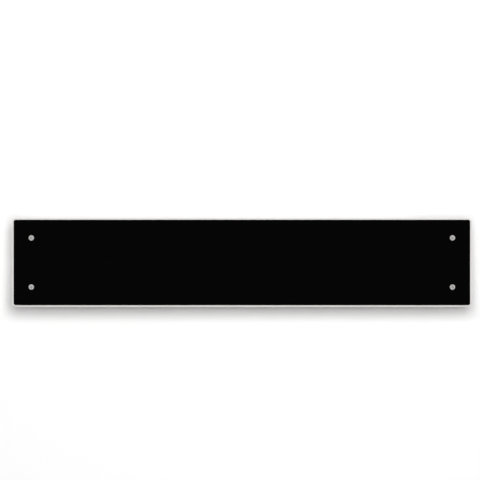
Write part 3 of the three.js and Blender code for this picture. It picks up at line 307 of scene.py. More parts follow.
def pale_plastic(graph, colours):
    """Moulded off-white plastic, with faint flow marks."""
    grain = graph.noise(1800)
    colour = graph.shades(graph.noise(26, 3, (1, 1, 0.4)), colours.pale, 0.94, 1.0)
    graph.surface(colour, 0.38 + 0.14 * grain, grain, depth=0.015)


def pale_ink(graph, colours):
    """Pale paint in the sunk marks."""
    wear = graph.noise(900, 3)
    graph.surface(graph.shades(wear.ramp(0.55, 0.8), colours.ink, 1.0, 0.7), 0.5 + 0.2 * wear)


def window(graph, colours):
    """Smoked window with a hard, nearly clean face."""
    graph.surface(tint(colours.window), 0.04 + 0.08 * graph.noise(160, 3), IOR=1.49)


def lit_segment(graph, colours):
    """A lit segment, a little uneven in brightness."""
    glow = graph.shades(graph.noise(500, 1), colours.digits, 0.85, 1.0)
    light = {"Emission Color": glow, "Emission Strength": 0.9}
    graph.surface(tint(colours.digits, 0.4), 0.4, **light)


def extrusion(graph, colours):
    """Mill-finish aluminium, with die lines along the extrusion."""
    lines = graph.noise(1600, stretch=(0.01, 1, 1))
    colour = graph.shades(graph.noise(20, 3), colours.aluminium, 0.88, 1.0)
    graph.surface(colour, 0.3 + 0.18 * lines, lines, depth=0.012, Metallic=1.0)


def shield_sheet(graph, colours):
    """Rolled aluminised steel."""
    lines, spangle = graph.noise(1300, stretch=(0.02, 1, 1)), graph.grains(160)
    colour = graph.shades(spangle, colours.zinc, 0.8, 1.02)
    graph.surface(colour, 0.28 + 0.12 * spangle + 0.08 * lines, lines, depth=0.01, Metallic=1.0)


def ceramic(graph, colours):
    """Unglazed ceramic with a fine, dry grain."""
    grain = graph.noise(1100, 4)
    colour = graph.shades(graph.noise(420).ramp(0.55, 0.75), colours.ceramic, 1.0, 0.82)
    graph.surface(colour, 0.66 + 0.2 * grain, grain, depth=0.04)


def solder_mask(graph, colours):
    """Green solder mask, lighter over the copper under it."""
    copper = graph.cells(240, (1, 0.25, 1)).ramp(0.3, 0.34)
    colour = graph.shades(copper, colours.board, 1.0, 1.7)
    graph.surface(colour, 0.3 + 0.1 * copper, copper, depth=0.03)


def relay_case(graph, colours):
    """Moulded blue case."""
    flow = graph.noise(90, 3)
    colour = graph.shades(flow, colours.relay, 0.85, 1.0)
    graph.surface(colour, 0.34 + 0.12 * flow, graph.noise(1600), depth=0.012)


def insulation(graph, colour):
    """A wire's insulation in one colour, dulled by handling."""
    handling = graph.noise(320, 3)
    graph.surface(
        graph.shades(handling, colour, 0.82, 1.0), 0.4 + 0.18 * handling, graph.noise(1400), depth=0.02
    )


def brown_insulation(graph, colours):
    insulation(graph, colours.brown_wire)


def red_insulation(graph, colours):
    insulation(graph, colours.red_wire)


def blue_insulation(graph, colours):
    insulation(graph, colours.blue_wire)


def earth_insulation(graph, colours):
    """Green insulation with a yellow stripe along it, as an earth wire has."""
    normal = graph.node("ShaderNodeTexCoord").outputs["Normal"]
    stripe = graph.value("ShaderNodeSeparateXYZ", 2, {}, {0: normal}).ramp(0.2, 0.24)
    colour = graph.mix(stripe, tint(colours.earth_green), tint(colours.earth_yellow))
    handling = graph.noise(320, 3)
    graph.surface(colour, 0.4 + 0.18 * handling, handling, depth=0.02)


finishes_made = {}


def finish(look):
    """The material of that finish, made the first time that a piece asks for it."""
    if look not in finishes_made:
        material = bpy.data.materials.new(f"radiator_{look.__name__}")
        material.use_nodes = True
        look(Graph(material.node_tree), bpy.context.scene.radiator_colours)
        finishes_made[look] = material
    return finishes_made[look]


# Outlines: each is a function that gives the points of a closed line, drawn in by some amount


def on_circle(middle, radius, angle):
    return middle[0] + radius * math.cos(angle), middle[1] + radius * math.sin(angle)


def arc(middle, radius, start, end, steps):
    """Points of a part of a circle, ends included. The angles are in quarter turns."""
    turns = [start + (end - start) * step / steps for step in range(steps + 1)]
    return [on_circle(middle, radius, turn * QUARTER) for turn in turns]


def around(middle, radius, sides, turn=0.0):
    """Points spaced evenly round a circle."""
    return [on_circle(middle, radius, turn + step / sides * 4 * QUARTER) for step in range(sides)]


def circle(middle, radius=0.0, sides=48):
    """A circle. Drawn in by minus r, with no radius of its own, it is a circle of radius r."""
    return lambda inset=0.0: around(middle, radius - inset, sides)


def polygon(middle, inradius, sides, turn=0.0):
    """A regular polygon by the distance from its middle to a side."""
    share = math.cos(2 * QUARTER / sides)
    return lambda inset=0.0: around(middle, (inradius - inset) / share, sides, turn)


def rounded(middle, size, radius, steps=6):
    """A rectangle with rounded corners. A negative inset makes it larger."""
    least_radius, same_point = 0.01, 1e-4

    def outline(inset=0.0):
        corner = max(radius - inset, least_radius)
        straight = [max(side / 2 - inset - corner, 0.0) for side in size]
        points = []
        for turn, (right, up) in enumerate(((1, 1), (-1, 1), (-1, -1), (1, -1))):
            centre = (middle[0] + right * straight[0], middle[1] + up * straight[1])
            points += arc(centre, corner, turn, turn + 1, steps)
        pairs = zip(points, [*points[1:], points[0]])
        return [point for point, following in pairs if math.dist(point, following) > same_point]

    return outline


# Profiles: points of inset and depth, or of radius and depth


def eased(points, size, steps=3):
    """Rounds the corners of a closed line of points, except any that lie on the axis."""
    longest_share = 0.45
    made = []
    for i, corner in enumerate(points):
        if corner[0] == 0:
            made.append(corner)
            continue
        ends = []
        for other in (points[i - 1], points[(i + 1) % len(points)]):
            reach = math.dist(corner, other)
            share = min(size, longest_share * reach) / reach
            ends.append([c + (o - c) * share for c, o in zip(corner, other)])
        for t in (step / steps for step in range(steps + 1)):
            curve = [
                (1 - t) ** 2 * a + 2 * t * (1 - t) * c + t**2 * b for a, c, b in zip(ends[0], corner, ends[1])
            ]
            made.append(tuple(curve))
    return made


def eased_edge(ease, back, front, inward=1):
    """A plate's edge, rounded towards both faces. The edge of a hole takes -1."""
    rise = arc((ease, ease), ease, 3, 2, 3)
    return [(inward * u, back + v) for u, v in rise] + [(inward * u, front - v) for u, v in reversed(rise)]


def nicked_edge(inset, start, end):
    """A sheet's edge with both corners taken off. The edge of a hole takes a negative inset."""
    nick = math.copysign(inset, end - start)
    return [(inset, start), (0, start + nick), (0, end - nick), (inset, end)]


def pocket(lead, mouth, floor):
    """The wall of a pocket, with a narrow lead round its mouth."""
    bend, bend_depth, lead_depth = 0.08, 0.1, 0.3
    return [(-lead, mouth), (-bend, mouth - bend_depth), (0, mouth - lead_depth), (0, floor)]


# Mesh code


def loop_of(mesh, place, points, depth):
    return [mesh.verts.new(place(u, v, depth)) for u, v in points]


def span(mesh, below, above, slot=0, closed=True):
    """Joins two loops with faces, or two open lines, or a loop and one point."""
    count = max(len(below), len(above))
    for i in range(count if closed else count - 1):
        ends = ((below, i), (below, i + 1), (above, i + 1), (above, i))
        corners = dict.fromkeys(line[k % len(line)] for line, k in ends)
        mesh.faces.new(tuple(corners)).material_index = slot


def walls(mesh, place, outline, profile, slot=0):
    """One outline at each inset and depth of a profile, joined up. Gives the first and last loops."""
    loops = [loop_of(mesh, place, outline(inset), depth) for inset, depth in profile]
    for below, above in zip(loops, loops[1:]):
        span(mesh, below, above, slot)
    return loops[0], loops[-1]


def cover(mesh, loops, slot=0):
    """Fills the flat face between its edge, the first loop, and the holes in it."""
    every = [vertex for loop in loops for vertex in loop]
    made = []
    for triangle in tessellate_polygon([[vertex.co / MM for vertex in loop] for loop in loops]):
        made.append(mesh.faces.new([every[i] for i in triangle]))
        made[-1].material_index = slot
    inner = dict.fromkeys(
        edge
        for face in made
        for edge in face.edges
        if len(edge.link_faces) == 2 and set(made).issuperset(edge.link_faces)
    )
    bmesh.ops.beautify_fill(mesh, faces=made, edges=list(inner), method="ANGLE")


def cap(mesh, rims, slot=0):
    """Covers both ends of walls. The first pair of loops is the edge, and the others are holes."""
    for loops in zip(*rims):
        cover(mesh, loops, slot)


def turned(mesh, place, middle, profile, sides=48, slot=0):
    """A turned form from points of radius and depth. It is a ring where neither end is on the axis."""
    loops = [
        loop_of(mesh, place, around(middle, radius, sides) if radius else [middle], depth)
        for radius, depth in profile
    ]
    if len(loops[0]) > 1 and len(loops[-1]) > 1:
        loops.append(loops[0])
    for below, above in zip(loops, loops[1:]):
        span(mesh, below, above, slot)


def lathed(middle, profile, sides):
    """A new mesh with one turned form, whose axis points out from the wall."""
    mesh = bmesh.new()
    turned(mesh, facing_front, middle, profile, sides)
    return mesh


def block(mesh, low, high, ease=0.02, slot=0):
    """A block between two corners, given as x, d and z."""
    middle = ((low[0] + high[0]) / 2, (low[2] + high[2]) / 2)
    outline = rounded(middle, (high[0] - low[0], high[2] - low[2]), ease, 3)
    cap(mesh, [walls(mesh, facing_front, outline, eased_edge(ease, low[1], high[1]), slot)], slot)


def prism(mesh, place, points, depths):
    """A flat outline carried from one depth to another."""
    cap(mesh, [walls(mesh, place, lambda inset: points, [(0, depth) for depth in depths])])


def channel(place, stations, holes, crown, lip, ease, bare=0):
    """A new mesh of sheet folded into a channel along u, with its web at depth crown.

    Each stretch between stations may have one hole through the web. The first and last stretches
    are web alone where bare is 1.
    """
    steps, nick, folds = 6, 0.25, []
    for edge, inward in zip(FOLD_SPAN, (1, -1)):
        middle = (edge + inward * FOLD_RADIUS, crown - FOLD_RADIUS)
        outside, inside = (
            [*arc(middle, FOLD_RADIUS - inner, 1, 1 + inward, steps), (edge + inward * inner, crown - lip)]
            for inner in (0, SHEET)
        )
        folds.append([*outside, *reversed(inside)])
    mesh = bmesh.new()
    rows = [[[mesh.verts.new(place(u, v, w)) for v, w in fold] for fold in folds] for u in stations]
    for i, (hole, here, there) in enumerate(zip(holes, rows, rows[1:])):
        whole = bare <= i < len(holes) - bare
        for line, following in zip(here, there):
            step = 1 if whole else len(line) - 1
            span(mesh, line[::step], following[::step], closed=False)
        rims = hole and walls(mesh, place, hole, nicked_edge(-nick, crown, crown - SHEET))
        for end in (0, -1):
            edge = [here[0][end], there[0][end], there[1][end], here[1][end]]
            if rims:
                cover(mesh, [edge, rims[end]])
            else:
                mesh.faces.new(edge)
    for line in (*rows[bare], *rows[-1 - bare]):
        half = len(line) // 2
        span(mesh, line[:half], line[: half - 1 : -1], closed=False)
    for left, right in (rows[0], rows[-1]):
        mesh.faces.new((left[0], right[0], right[-1], left[-1]))
    loose = [vertex for vertex in mesh.verts if not vertex.link_faces]
    bmesh.ops.delete(mesh, geom=loose, context="VERTS")
    soften(mesh, ease, 2, 60)
    return mesh


def soften(mesh, width, segments=2, least=40):
    """Rounds every edge that turns by more than least degrees."""
    bmesh.ops.recalc_face_normals(mesh, faces=mesh.faces[:])
    sharp = [
        edge
        for edge in mesh.edges
        if len(edge.link_faces) == 2 and edge.calc_face_angle() > math.radians(least)
    ]
    bmesh.ops.bevel(
        mesh, geom=sharp, offset=width * MM, offset_type="OFFSET", segments=segments,
        profile=0.5, affect="EDGES", clamp_overlap=True,
    )


def cad_copy(node):
    """A CAD node's mesh with its flat faces made whole, ready to be worked on."""
    mesh = bmesh.new()
    mesh.from_mesh(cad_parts[node].data)
    bmesh.ops.remove_doubles(mesh, verts=mesh.verts[:], dist=0.001 * MM)
    flat = math.radians(0.5)
    bmesh.ops.dissolve_limit(mesh, angle_limit=flat, verts=mesh.verts[:], edges=mesh.edges[:])
    for face in mesh.faces:
        face.material_index = 0
    return mesh


def add_object(name, data, place=(0, 0, 0)):
    made = bpy.data.objects.new(name, data)
    made.location = place
    bpy.context.scene.collection.objects.link(made)
    return made


def mesh_object(name, mesh, origin):
    """Turns the mesh into an object whose own origin is there."""
    bmesh.ops.recalc_face_normals(mesh, faces=mesh.faces[:])
    bmesh.ops.translate(mesh, verts=mesh.verts[:], vec=-origin)
    data = bpy.data.meshes.new(name)
    mesh.to_mesh(data)
    mesh.free()
    return add_object(name, data, origin)


def piece(name, mesh, looks, slot, stands_for=None, body="root", origin=at(0, 0, 0), crease=45):
    """Makes the object, gives it its finishes and hands it to its body."""
    for face in mesh.faces:
        face.smooth = True
    made = mesh_object(name, mesh, origin)
    made.data.set_sharp_from_angle(angle=math.radians(crease))
    for look in looks:
        made.data.materials.append(finish(look))
    shading = made.modifiers.new("Even shading", "WEIGHTED_NORMAL")
    shading.keep_sharp = True
    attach(made, body)
    if stands_for:
        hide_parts(stands_for)
    return made


def cut_slot(made, tool_mesh):
    """Cuts a slot out of a piece, with sharp edges, and leaves no modifier behind for it."""
    tool = mesh_object("slot", tool_mesh, made.location.copy())
    cutting = made.modifiers.new("Slot", "BOOLEAN")
    cutting.operation, cutting.solver, cutting.object = "DIFFERENCE", "EXACT", tool
    shading = made.modifiers["Even shading"]
    shading.show_viewport = False
    bpy.context.view_layer.update()
    evaluated = made.evaluated_get(bpy.context.evaluated_depsgraph_get())
    cut = bpy.data.meshes.new_from_object(evaluated)
    cut.name = made.name
    cut.set_sharp_from_angle(angle=math.radians(40))
    shading.show_viewport = True
    made.modifiers.remove(cutting)
    made.data = cut
    bpy.data.objects.remove(tool)


# Settings


def number(name, text, default, unit="NONE", **limits):
    return FloatProperty(name=name, description=text, default=default, unit=unit, **limits)


def length(name, text, default):
    return number(name, text, default * MM, "LENGTH", min=0.0, precision=5)


def swatch(name, text, default):
    return FloatVectorProperty(
        name=name, description=text, default=default, subtype="COLOR", size=3, min=0.0, max=1.0
    )


class RadiatorSizes(bpy.types.PropertyGroup):
    """Sizes of the radiator's details. The main sizes come from the CAD nodes in model.glb."""

    glass_corner: length("Glass corner", "Radius of the corners of the glass", 5.0)
    glass_arris: length("Glass arris", "Width of the polished edge of the glass", 0.35)
    tray_corner: length("Tray corner", "Radius of the corners of the white casing", 10.0)
    tray_bend: length("Tray bend", "Radius of the bend round the white casing", 0.8)
    socket: length("Screw socket", "Size across the hexagon in the glass screws", 5.0)
    digit_height: length("Digit height", "Height of the digits in the display", 8.6)
    reading: StringProperty(name="Reading", description="Number that the display shows", default="21.5")


class RadiatorColours(bpy.types.PropertyGroup):
    """Colours of the radiator's finishes."""

    glass: swatch("Glass", "Print behind the glass", (0.0012, 0.0012, 0.0013))
    glass_edge: swatch("Glass edge", "Ground edge of the glass", (0.004, 0.006, 0.0055))
    paint: swatch("Paint", "Powder coat of the casing", (0.9, 0.878, 0.85))
    steel: swatch("Stainless steel", "Screws and sheathed rod", (0.84, 0.828, 0.81))
    heat_stain: swatch("Heat stain", "Brown of steel that gets hot", (0.36, 0.3, 0.24))
    zinc: swatch("Zinc", "Zinc plate of the bracket and fixings", (0.52, 0.53, 0.545))
    rubber: swatch("Rubber", "Grommets and bushing", (0.018, 0.018, 0.018))
    plastic: swatch("Black plastic", "Control unit and switch", (0.018, 0.018, 0.019))
    pale: swatch("Pale plastic", "Latches and terminal block", (0.8, 0.785, 0.745))
    ink: swatch("Marks", "Marks on the buttons and the switch", (0.75, 0.75, 0.74))
    window: swatch("Window", "Smoked window of the display", (0.004, 0.004, 0.005))
    digits: swatch("Digits", "Light of the display", (0.72, 0.88, 1.0))
    aluminium: swatch("Aluminium", "Fins of the element", (0.78, 0.79, 0.8))
    ceramic: swatch("Ceramic", "Bushes of the element", (0.8, 0.76, 0.68))
    board: swatch("Board", "Solder mask", (0.012, 0.1, 0.045))
    relay: swatch("Relay", "Case of the relay", (0.03, 0.12, 0.38))
    brown_wire: swatch("Live wire", "Brown insulation", (0.13, 0.055, 0.025))
    red_wire: swatch("Switched wires", "Red insulation", (0.42, 0.025, 0.018))
    blue_wire: swatch("Neutral wire", "Blue insulation", (0.02, 0.13, 0.42))
    earth_green: swatch("Earth green", "Green of the earth wire", (0.05, 0.26, 0.04))
    earth_yellow: swatch("Earth yellow", "Yellow of the earth wire", (0.75, 0.6, 0.03))


class RadiatorStage(bpy.types.PropertyGroup):
    """The camera, the lamps, the wall and the floor."""

    lens: number("Lens", "Focal length of the camera", 145.0, "CAMERA", min=1.0)
    distance: length("Camera distance", "From the camera to the glass", 5000.0)
    camera_z: length("Camera height", "Camera's height above the radiator's middle", 58.2)
    camera_left: length("Camera left", "How far left of the middle the camera stands", 4.9)
    floor_drop: length("Floor", "From the radiator's middle down to the floor", 750.0)
    ambient: number("Ambient", "Strength of the even light from all round", 0.46, min=0.0)
    key: number("Key lamp", "Power of the lamp in front", 128.0, "POWER", min=0.0)
    back: number("Back lamp", "Power of the lamp behind", 70.0, "POWER", min=0.0)
    dark_front: number("Dark front", "What gloss sees straight ahead of the glass", 0.02, min=0.0, max=1.0)


# Pieces


def front_of(node):
    """A CAD node's width and height in millimetres."""
    low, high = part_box(node)
    return (high.x - low.x) / MM, (high.z - low.z) / MM


class MakeGlass(bpy.types.Operator):
    """Makes the black glass front, with four holes and polished edges"""

    bl_idname = "radiator.make_glass"
    bl_label = "Glass front"

    hole_radius, hole_arris = 5.8, 0.3

    def execute(self, context):
        sizes = context.scene.radiator_sizes
        depths = (GLASS_BACK, GLASS_FRONT)
        mesh = bmesh.new()
        outer = rounded((0, 0), front_of("front_glass"), sizes.glass_corner / MM, 12)
        rims = [walls(mesh, facing_front, outer, eased_edge(sizes.glass_arris / MM, *depths), slot=1)]
        for _, x, z in GLASS_CORNERS:
            hole = circle((x, z), self.hole_radius)
            rims.append(walls(mesh, facing_front, hole, eased_edge(self.hole_arris, *depths, -1), slot=1))
        cap(mesh, rims)
        piece("glass_panel", mesh, [black_glass, ground_edge], "black_glass", "front_glass")
        return {"FINISHED"}


class MakeGlassFixings(bpy.types.Operator):
    """Makes the button head screws and the rubber grommets that hold the glass"""

    bl_idname = "radiator.make_glass_fixings"
    bl_label = "Glass screws and grommets"

    def screw(self, x, z, socket):
        tip, seat, top, floor = 67.6, 85.6, 90.0, 87.4
        shank, head, crown = 4.0, 7.0, 3.7
        chamfer, ease, edge, cone = 0.8, 0.3, 0.9, 0.7
        dome = [
            (crown + (head - crown) * math.cos(turn), seat + edge + (top - seat - edge) * math.sin(turn))
            for turn in (step / 10 * QUARTER for step in range(11))
        ]
        profile = [
            (shank - chamfer, tip), (shank, tip + chamfer), (shank, seat),
            (head - ease, seat), (head, seat + ease), *dome,
        ]
        mesh = bmesh.new()
        end, rim = walls(mesh, facing_front, circle((x, z), 0, 64), [(-r, d) for r, d in profile])
        cover(mesh, [end])
        hexagon = polygon((x, z), socket / 2, 6, QUARTER / 3)
        mouth, foot = walls(mesh, facing_front, hexagon, pocket(0.25, top, floor))
        cover(mesh, [rim, mouth])
        span(mesh, foot, loop_of(mesh, facing_front, [(x, z)], floor - cone))
        return mesh

    def grommet(self, x, z):
        bore, neck, rear_flange, front_flange = 4.3, 5.5, 9.0, 6.6
        rear, front = 76.65, 85.55
        profile = [
            (bore, rear), (rear_flange, rear), (rear_flange, GLASS_BACK - CONTACT),
            (neck, GLASS_BACK - CONTACT), (neck, GLASS_FRONT + CONTACT),
            (front_flange, GLASS_FRONT + CONTACT), (front_flange, front), (bore, front),
        ]
        return lathed((x, z), eased(profile, 0.35), 56)

    def execute(self, context):
        socket = context.scene.radiator_sizes.socket / MM
        for name, x, z in GLASS_CORNERS:
            shared = {"origin": at(x, 0, z), "crease": 50}
            screw, grommet = self.screw(x, z, socket), self.grommet(x, z)
            piece(f"screw_{name}", screw, [turned_steel], "stainless", f"glass_screw_{name}", **shared)
            piece(f"grommet_{name}", grommet, [rubber], "grommet_rubber", f"glass_grommet_{name}", **shared)
        return {"FINISHED"}


class MakeTray(bpy.types.Operator):
    """Makes the white front of the casing, with its edges turned back and a raised rim round the glass"""

    bl_idname = "radiator.make_tray"
    bl_label = "Front tray"

    screw_hole = 5.9

    def execute(self, context):
        sizes = context.scene.radiator_sizes
        bend, corner = sizes.tray_bend / MM, sizes.tray_corner / MM
        nick, crease, ease = 0.25, 0.2, 0.5
        step, hem = RIM_WIDTH - SHEET, RIM_FRONT - SHEET
        profile = [
            *arc((step + ease, TRAY_INSIDE + ease), ease, 3, 2, 4),
            *arc((step - crease, hem - crease), crease, 0, 1, 3),
            *arc((SHEET + crease, hem - crease), crease, 1, 2, 3),
            (SHEET, TRAY_REAR + nick), (SHEET - nick, TRAY_REAR), (nick, TRAY_REAR), (0, TRAY_REAR + nick),
            *arc((bend, RIM_FRONT - bend), bend, 2, 1, 10),
            *arc((RIM_WIDTH - ease, RIM_FRONT - ease), ease, 1, 0, 4),
            *arc((RIM_WIDTH + ease, TRAY_FRONT + ease), ease, 2, 3, 4),
        ]
        mesh = bmesh.new()
        rims = [walls(mesh, facing_front, rounded((0, 0), front_of("front_tray"), corner, 14), profile)]
        for _, x, z in GLASS_CORNERS:
            hole = circle((x, z), self.screw_hole, 40)
            rims.append(walls(mesh, facing_front, hole, [(0, TRAY_INSIDE), (0, TRAY_FRONT)]))
        cap(mesh, rims)
        piece("casing_tray", mesh, [powder_coat], "white_paint", "front_tray")
        return {"FINISHED"}


class MakeRearPanel(bpy.types.Operator):
    """Makes the rear panel with its pressed groove and slots, its earth stud and its six screws"""

    bl_idname = "radiator.make_rear_panel"
    bl_label = "Rear panel and screws"

    groove_z, groove_length, groove_radius, groove_depth = 25.0, 1008.0, 6.0, 2.5
    groove_fillet, groove_shares = 0.8, (0.06, 0.2, 0.4, 0.6, 0.8, 0.93)
    screw_x, screw_z, screw_hole = (-540, 0, 540), 91, 2.1
    stud, stud_radius, stud_top = (435, -8), 2, 31
    bushing_hole = 7.1
    foot_x, foot_z, foot_size = 19.25, -69.7, (3.6, 16)
    hook_z, hook_size = 73.45, (13, 16.1)

    def groove(self, mesh, radius, face):
        """The loops of the pressed groove on one side of the sheet. Gives its rim."""
        axis = WALL_GAP + self.groove_depth - self.groove_radius
        reach = math.sqrt(radius**2 - (face - axis) ** 2)
        outline = rounded((0, self.groove_z), (self.groove_length, 2 * reach), reach, 8)
        profile = [(-self.groove_fillet, face), (-0.35 * self.groove_fillet, face + 0.1)]
        for inset in (share * reach for share in self.groove_shares):
            profile.append((inset, axis + math.sqrt(radius**2 - (reach - inset) ** 2)))
        rim, floor = walls(mesh, facing_front, outline, profile)
        cover(mesh, [floor])
        return rim

    def panel(self):
        mesh = bmesh.new()
        cuts = [
            circle((x, z), self.screw_hole, 20) for x in self.screw_x for z in (-self.screw_z, self.screw_z)
        ]
        cuts.append(circle(CORD_OUTLET, self.bushing_hole, 40))
        for middle in (-UPRIGHT_X, UPRIGHT_X):
            for offset in (-self.foot_x, self.foot_x):
                cuts.append(rounded((middle + offset, self.foot_z), self.foot_size, 0.6, 3))
            cuts.append(rounded((middle, self.hook_z), self.hook_size, 1.0, 3))
        nick = 0.2
        edge = nicked_edge(-nick, WALL_GAP, PANEL_FRONT)
        holes = [walls(mesh, facing_front, cut, edge) for cut in cuts]
        outer = rounded((0, 0), (2 * BODY_RIGHT, 2 * BODY_TOP), 3.0, 5)
        sides = walls(mesh, facing_front, outer, nicked_edge(nick, WALL_GAP, PANEL_FRONT))
        faces = zip(sides, zip(*holes), (WALL_GAP, PANEL_FRONT), (0, SHEET))
        for side, rims, depth, more in faces:
            cover(mesh, [side, *rims, self.groove(mesh, self.groove_radius + more, depth)])
        root, radius, top = WALL_GAP + 0.5, self.stud_radius, self.stud_top
        stud = eased([(0, root), (radius, root), (radius, top), (0, top)], 0.4)
        turned(mesh, facing_front, self.stud, stud, 24, slot=1)
        return mesh

    def screw(self, x, z):
        """A pan head screw. Its dome is cut short, so that it has a flat top."""
        seat, top, edge, shoulder, tip = WALL_GAP - CONTACT, 15.78, 0.6, 21.9, 23.7
        head, under_head, shank, point = 3.8, 3.7, 1.8, 0.9
        rise = seat - edge - top - CONTACT
        dome = [
            (head * math.cos(0.8 * turn), seat - edge - rise * math.sin(turn))
            for turn in (step / 7 * QUARTER for step in range(8))
        ]
        neck = [(point, tip), (shank, shoulder), (shank, seat), (under_head, seat)]
        return lathed((x, z), [(0, tip), *neck, *dome, (0, top)], 36)

    def execute(self, context):
        piece("back_panel", self.panel(), [powder_coat, bright_zinc], "white_paint", "rear_panel")
        places = [(x, z) for x in self.screw_x for z in (self.screw_z, -self.screw_z)]
        for count, (x, z) in enumerate(places, 1):
            made = piece(
                f"panel_screw_{count}", self.screw(x, z), [bright_zinc], "zinc_plate",
                f"rear_screw_{count}", origin=at(x, 0, z), crease=50,
            )
            reach, half, outside, floor = 5, 0.5, 13, 16.68
            slot = bmesh.new()
            block(slot, (x - reach, outside, z - half), (x + reach, floor, z + half))
            cut_slot(made, slot)
        return {"FINISHED"}


class MakeGrilles(bpy.types.Operator):
    """Makes the top and bottom grilles, folded channels with a row of slots"""

    bl_idname = "radiator.make_grilles"
    bl_label = "Grilles"

    half, lip = 573.7, 12.0
    slot_width, slot_span = 3.6, (25.3, 60.0)
    opening_size, opening_ends = (109, 31), (450.0, 566.0)

    def slots(self, first, last, pitch):
        """The stations and holes of a row of slots from one middle to another."""
        count = round((last - first) / pitch)
        size = (self.slot_width, self.slot_span[1] - self.slot_span[0])
        middle = sum(self.slot_span) / 2
        stations = [first - pitch / 2 + i * pitch for i in range(count + 2)]
        holes = [rounded((first + i * pitch, middle), size, size[0] / 2, 5) for i in range(count + 1)]
        return stations, holes

    def execute(self, context):
        opening = rounded((CONTROL_X, CONTROL_D), self.opening_size, 0.8, 3)
        for name, place, row, ends, extra in (
            ("top", facing_up, (-549.0, 427.5, 10.5), self.opening_ends, [None, opening]),
            ("bottom", facing_down, (-552.5, 552.5, 13.0), (), []),
        ):
            stations, holes = self.slots(*row)
            stations = [-self.half, *stations, *ends, self.half]
            mesh = channel(place, stations, [None, *holes, *extra, None], BODY_TOP, self.lip, 0.18)
            piece(f"vent_{name}", mesh, [powder_coat], "white_paint", f"{name}_grille")
        return {"FINISHED"}


class MakeEndCaps(bpy.types.Operator):
    """Makes the folded sheets that close the ends, the right one with the switch's opening"""

    bl_idname = "radiator.make_end_caps"
    bl_label = "End caps"

    lip, lips_end = 14.0, 84.7
    opening_size, opening_ends = (28.0, 22.2), (-60.0, -10.0)

    def execute(self, context):
        opening = rounded((SWITCH_Z, SWITCH_D), self.opening_size, 0.8, 3)
        stations = [-BODY_TOP, -self.lips_end, *self.opening_ends, self.lips_end, BODY_TOP]
        for name, place, hole in (("left", facing_left, None), ("right", facing_right, opening)):
            holes = [None, None, hole, None, None]
            mesh = channel(place, stations, holes, BODY_RIGHT, self.lip, 0.25, bare=1)
            piece(f"end_sheet_{name}", mesh, [powder_coat], "white_paint", f"end_cap_{name}")
        return {"FINISHED"}


# The segments of each digit, and the ends of each segment in widths and half heights of a digit
SEGMENTS = {
    "0": "abcdef", "1": "bc", "2": "abged", "3": "abgcd", "4": "fgbc",
    "5": "afgcd", "6": "afgedc", "7": "abc", "8": "abcdefg", "9": "abcdfg",
}
BARS = {
    "a": ((0, 2), (1, 2)), "b": ((1, 1), (1, 2)), "c": ((1, 0), (1, 1)), "d": ((0, 0), (1, 0)),
    "e": ((0, 0), (0, 1)), "f": ((0, 1), (0, 2)), "g": ((0, 1), (1, 1)),
}


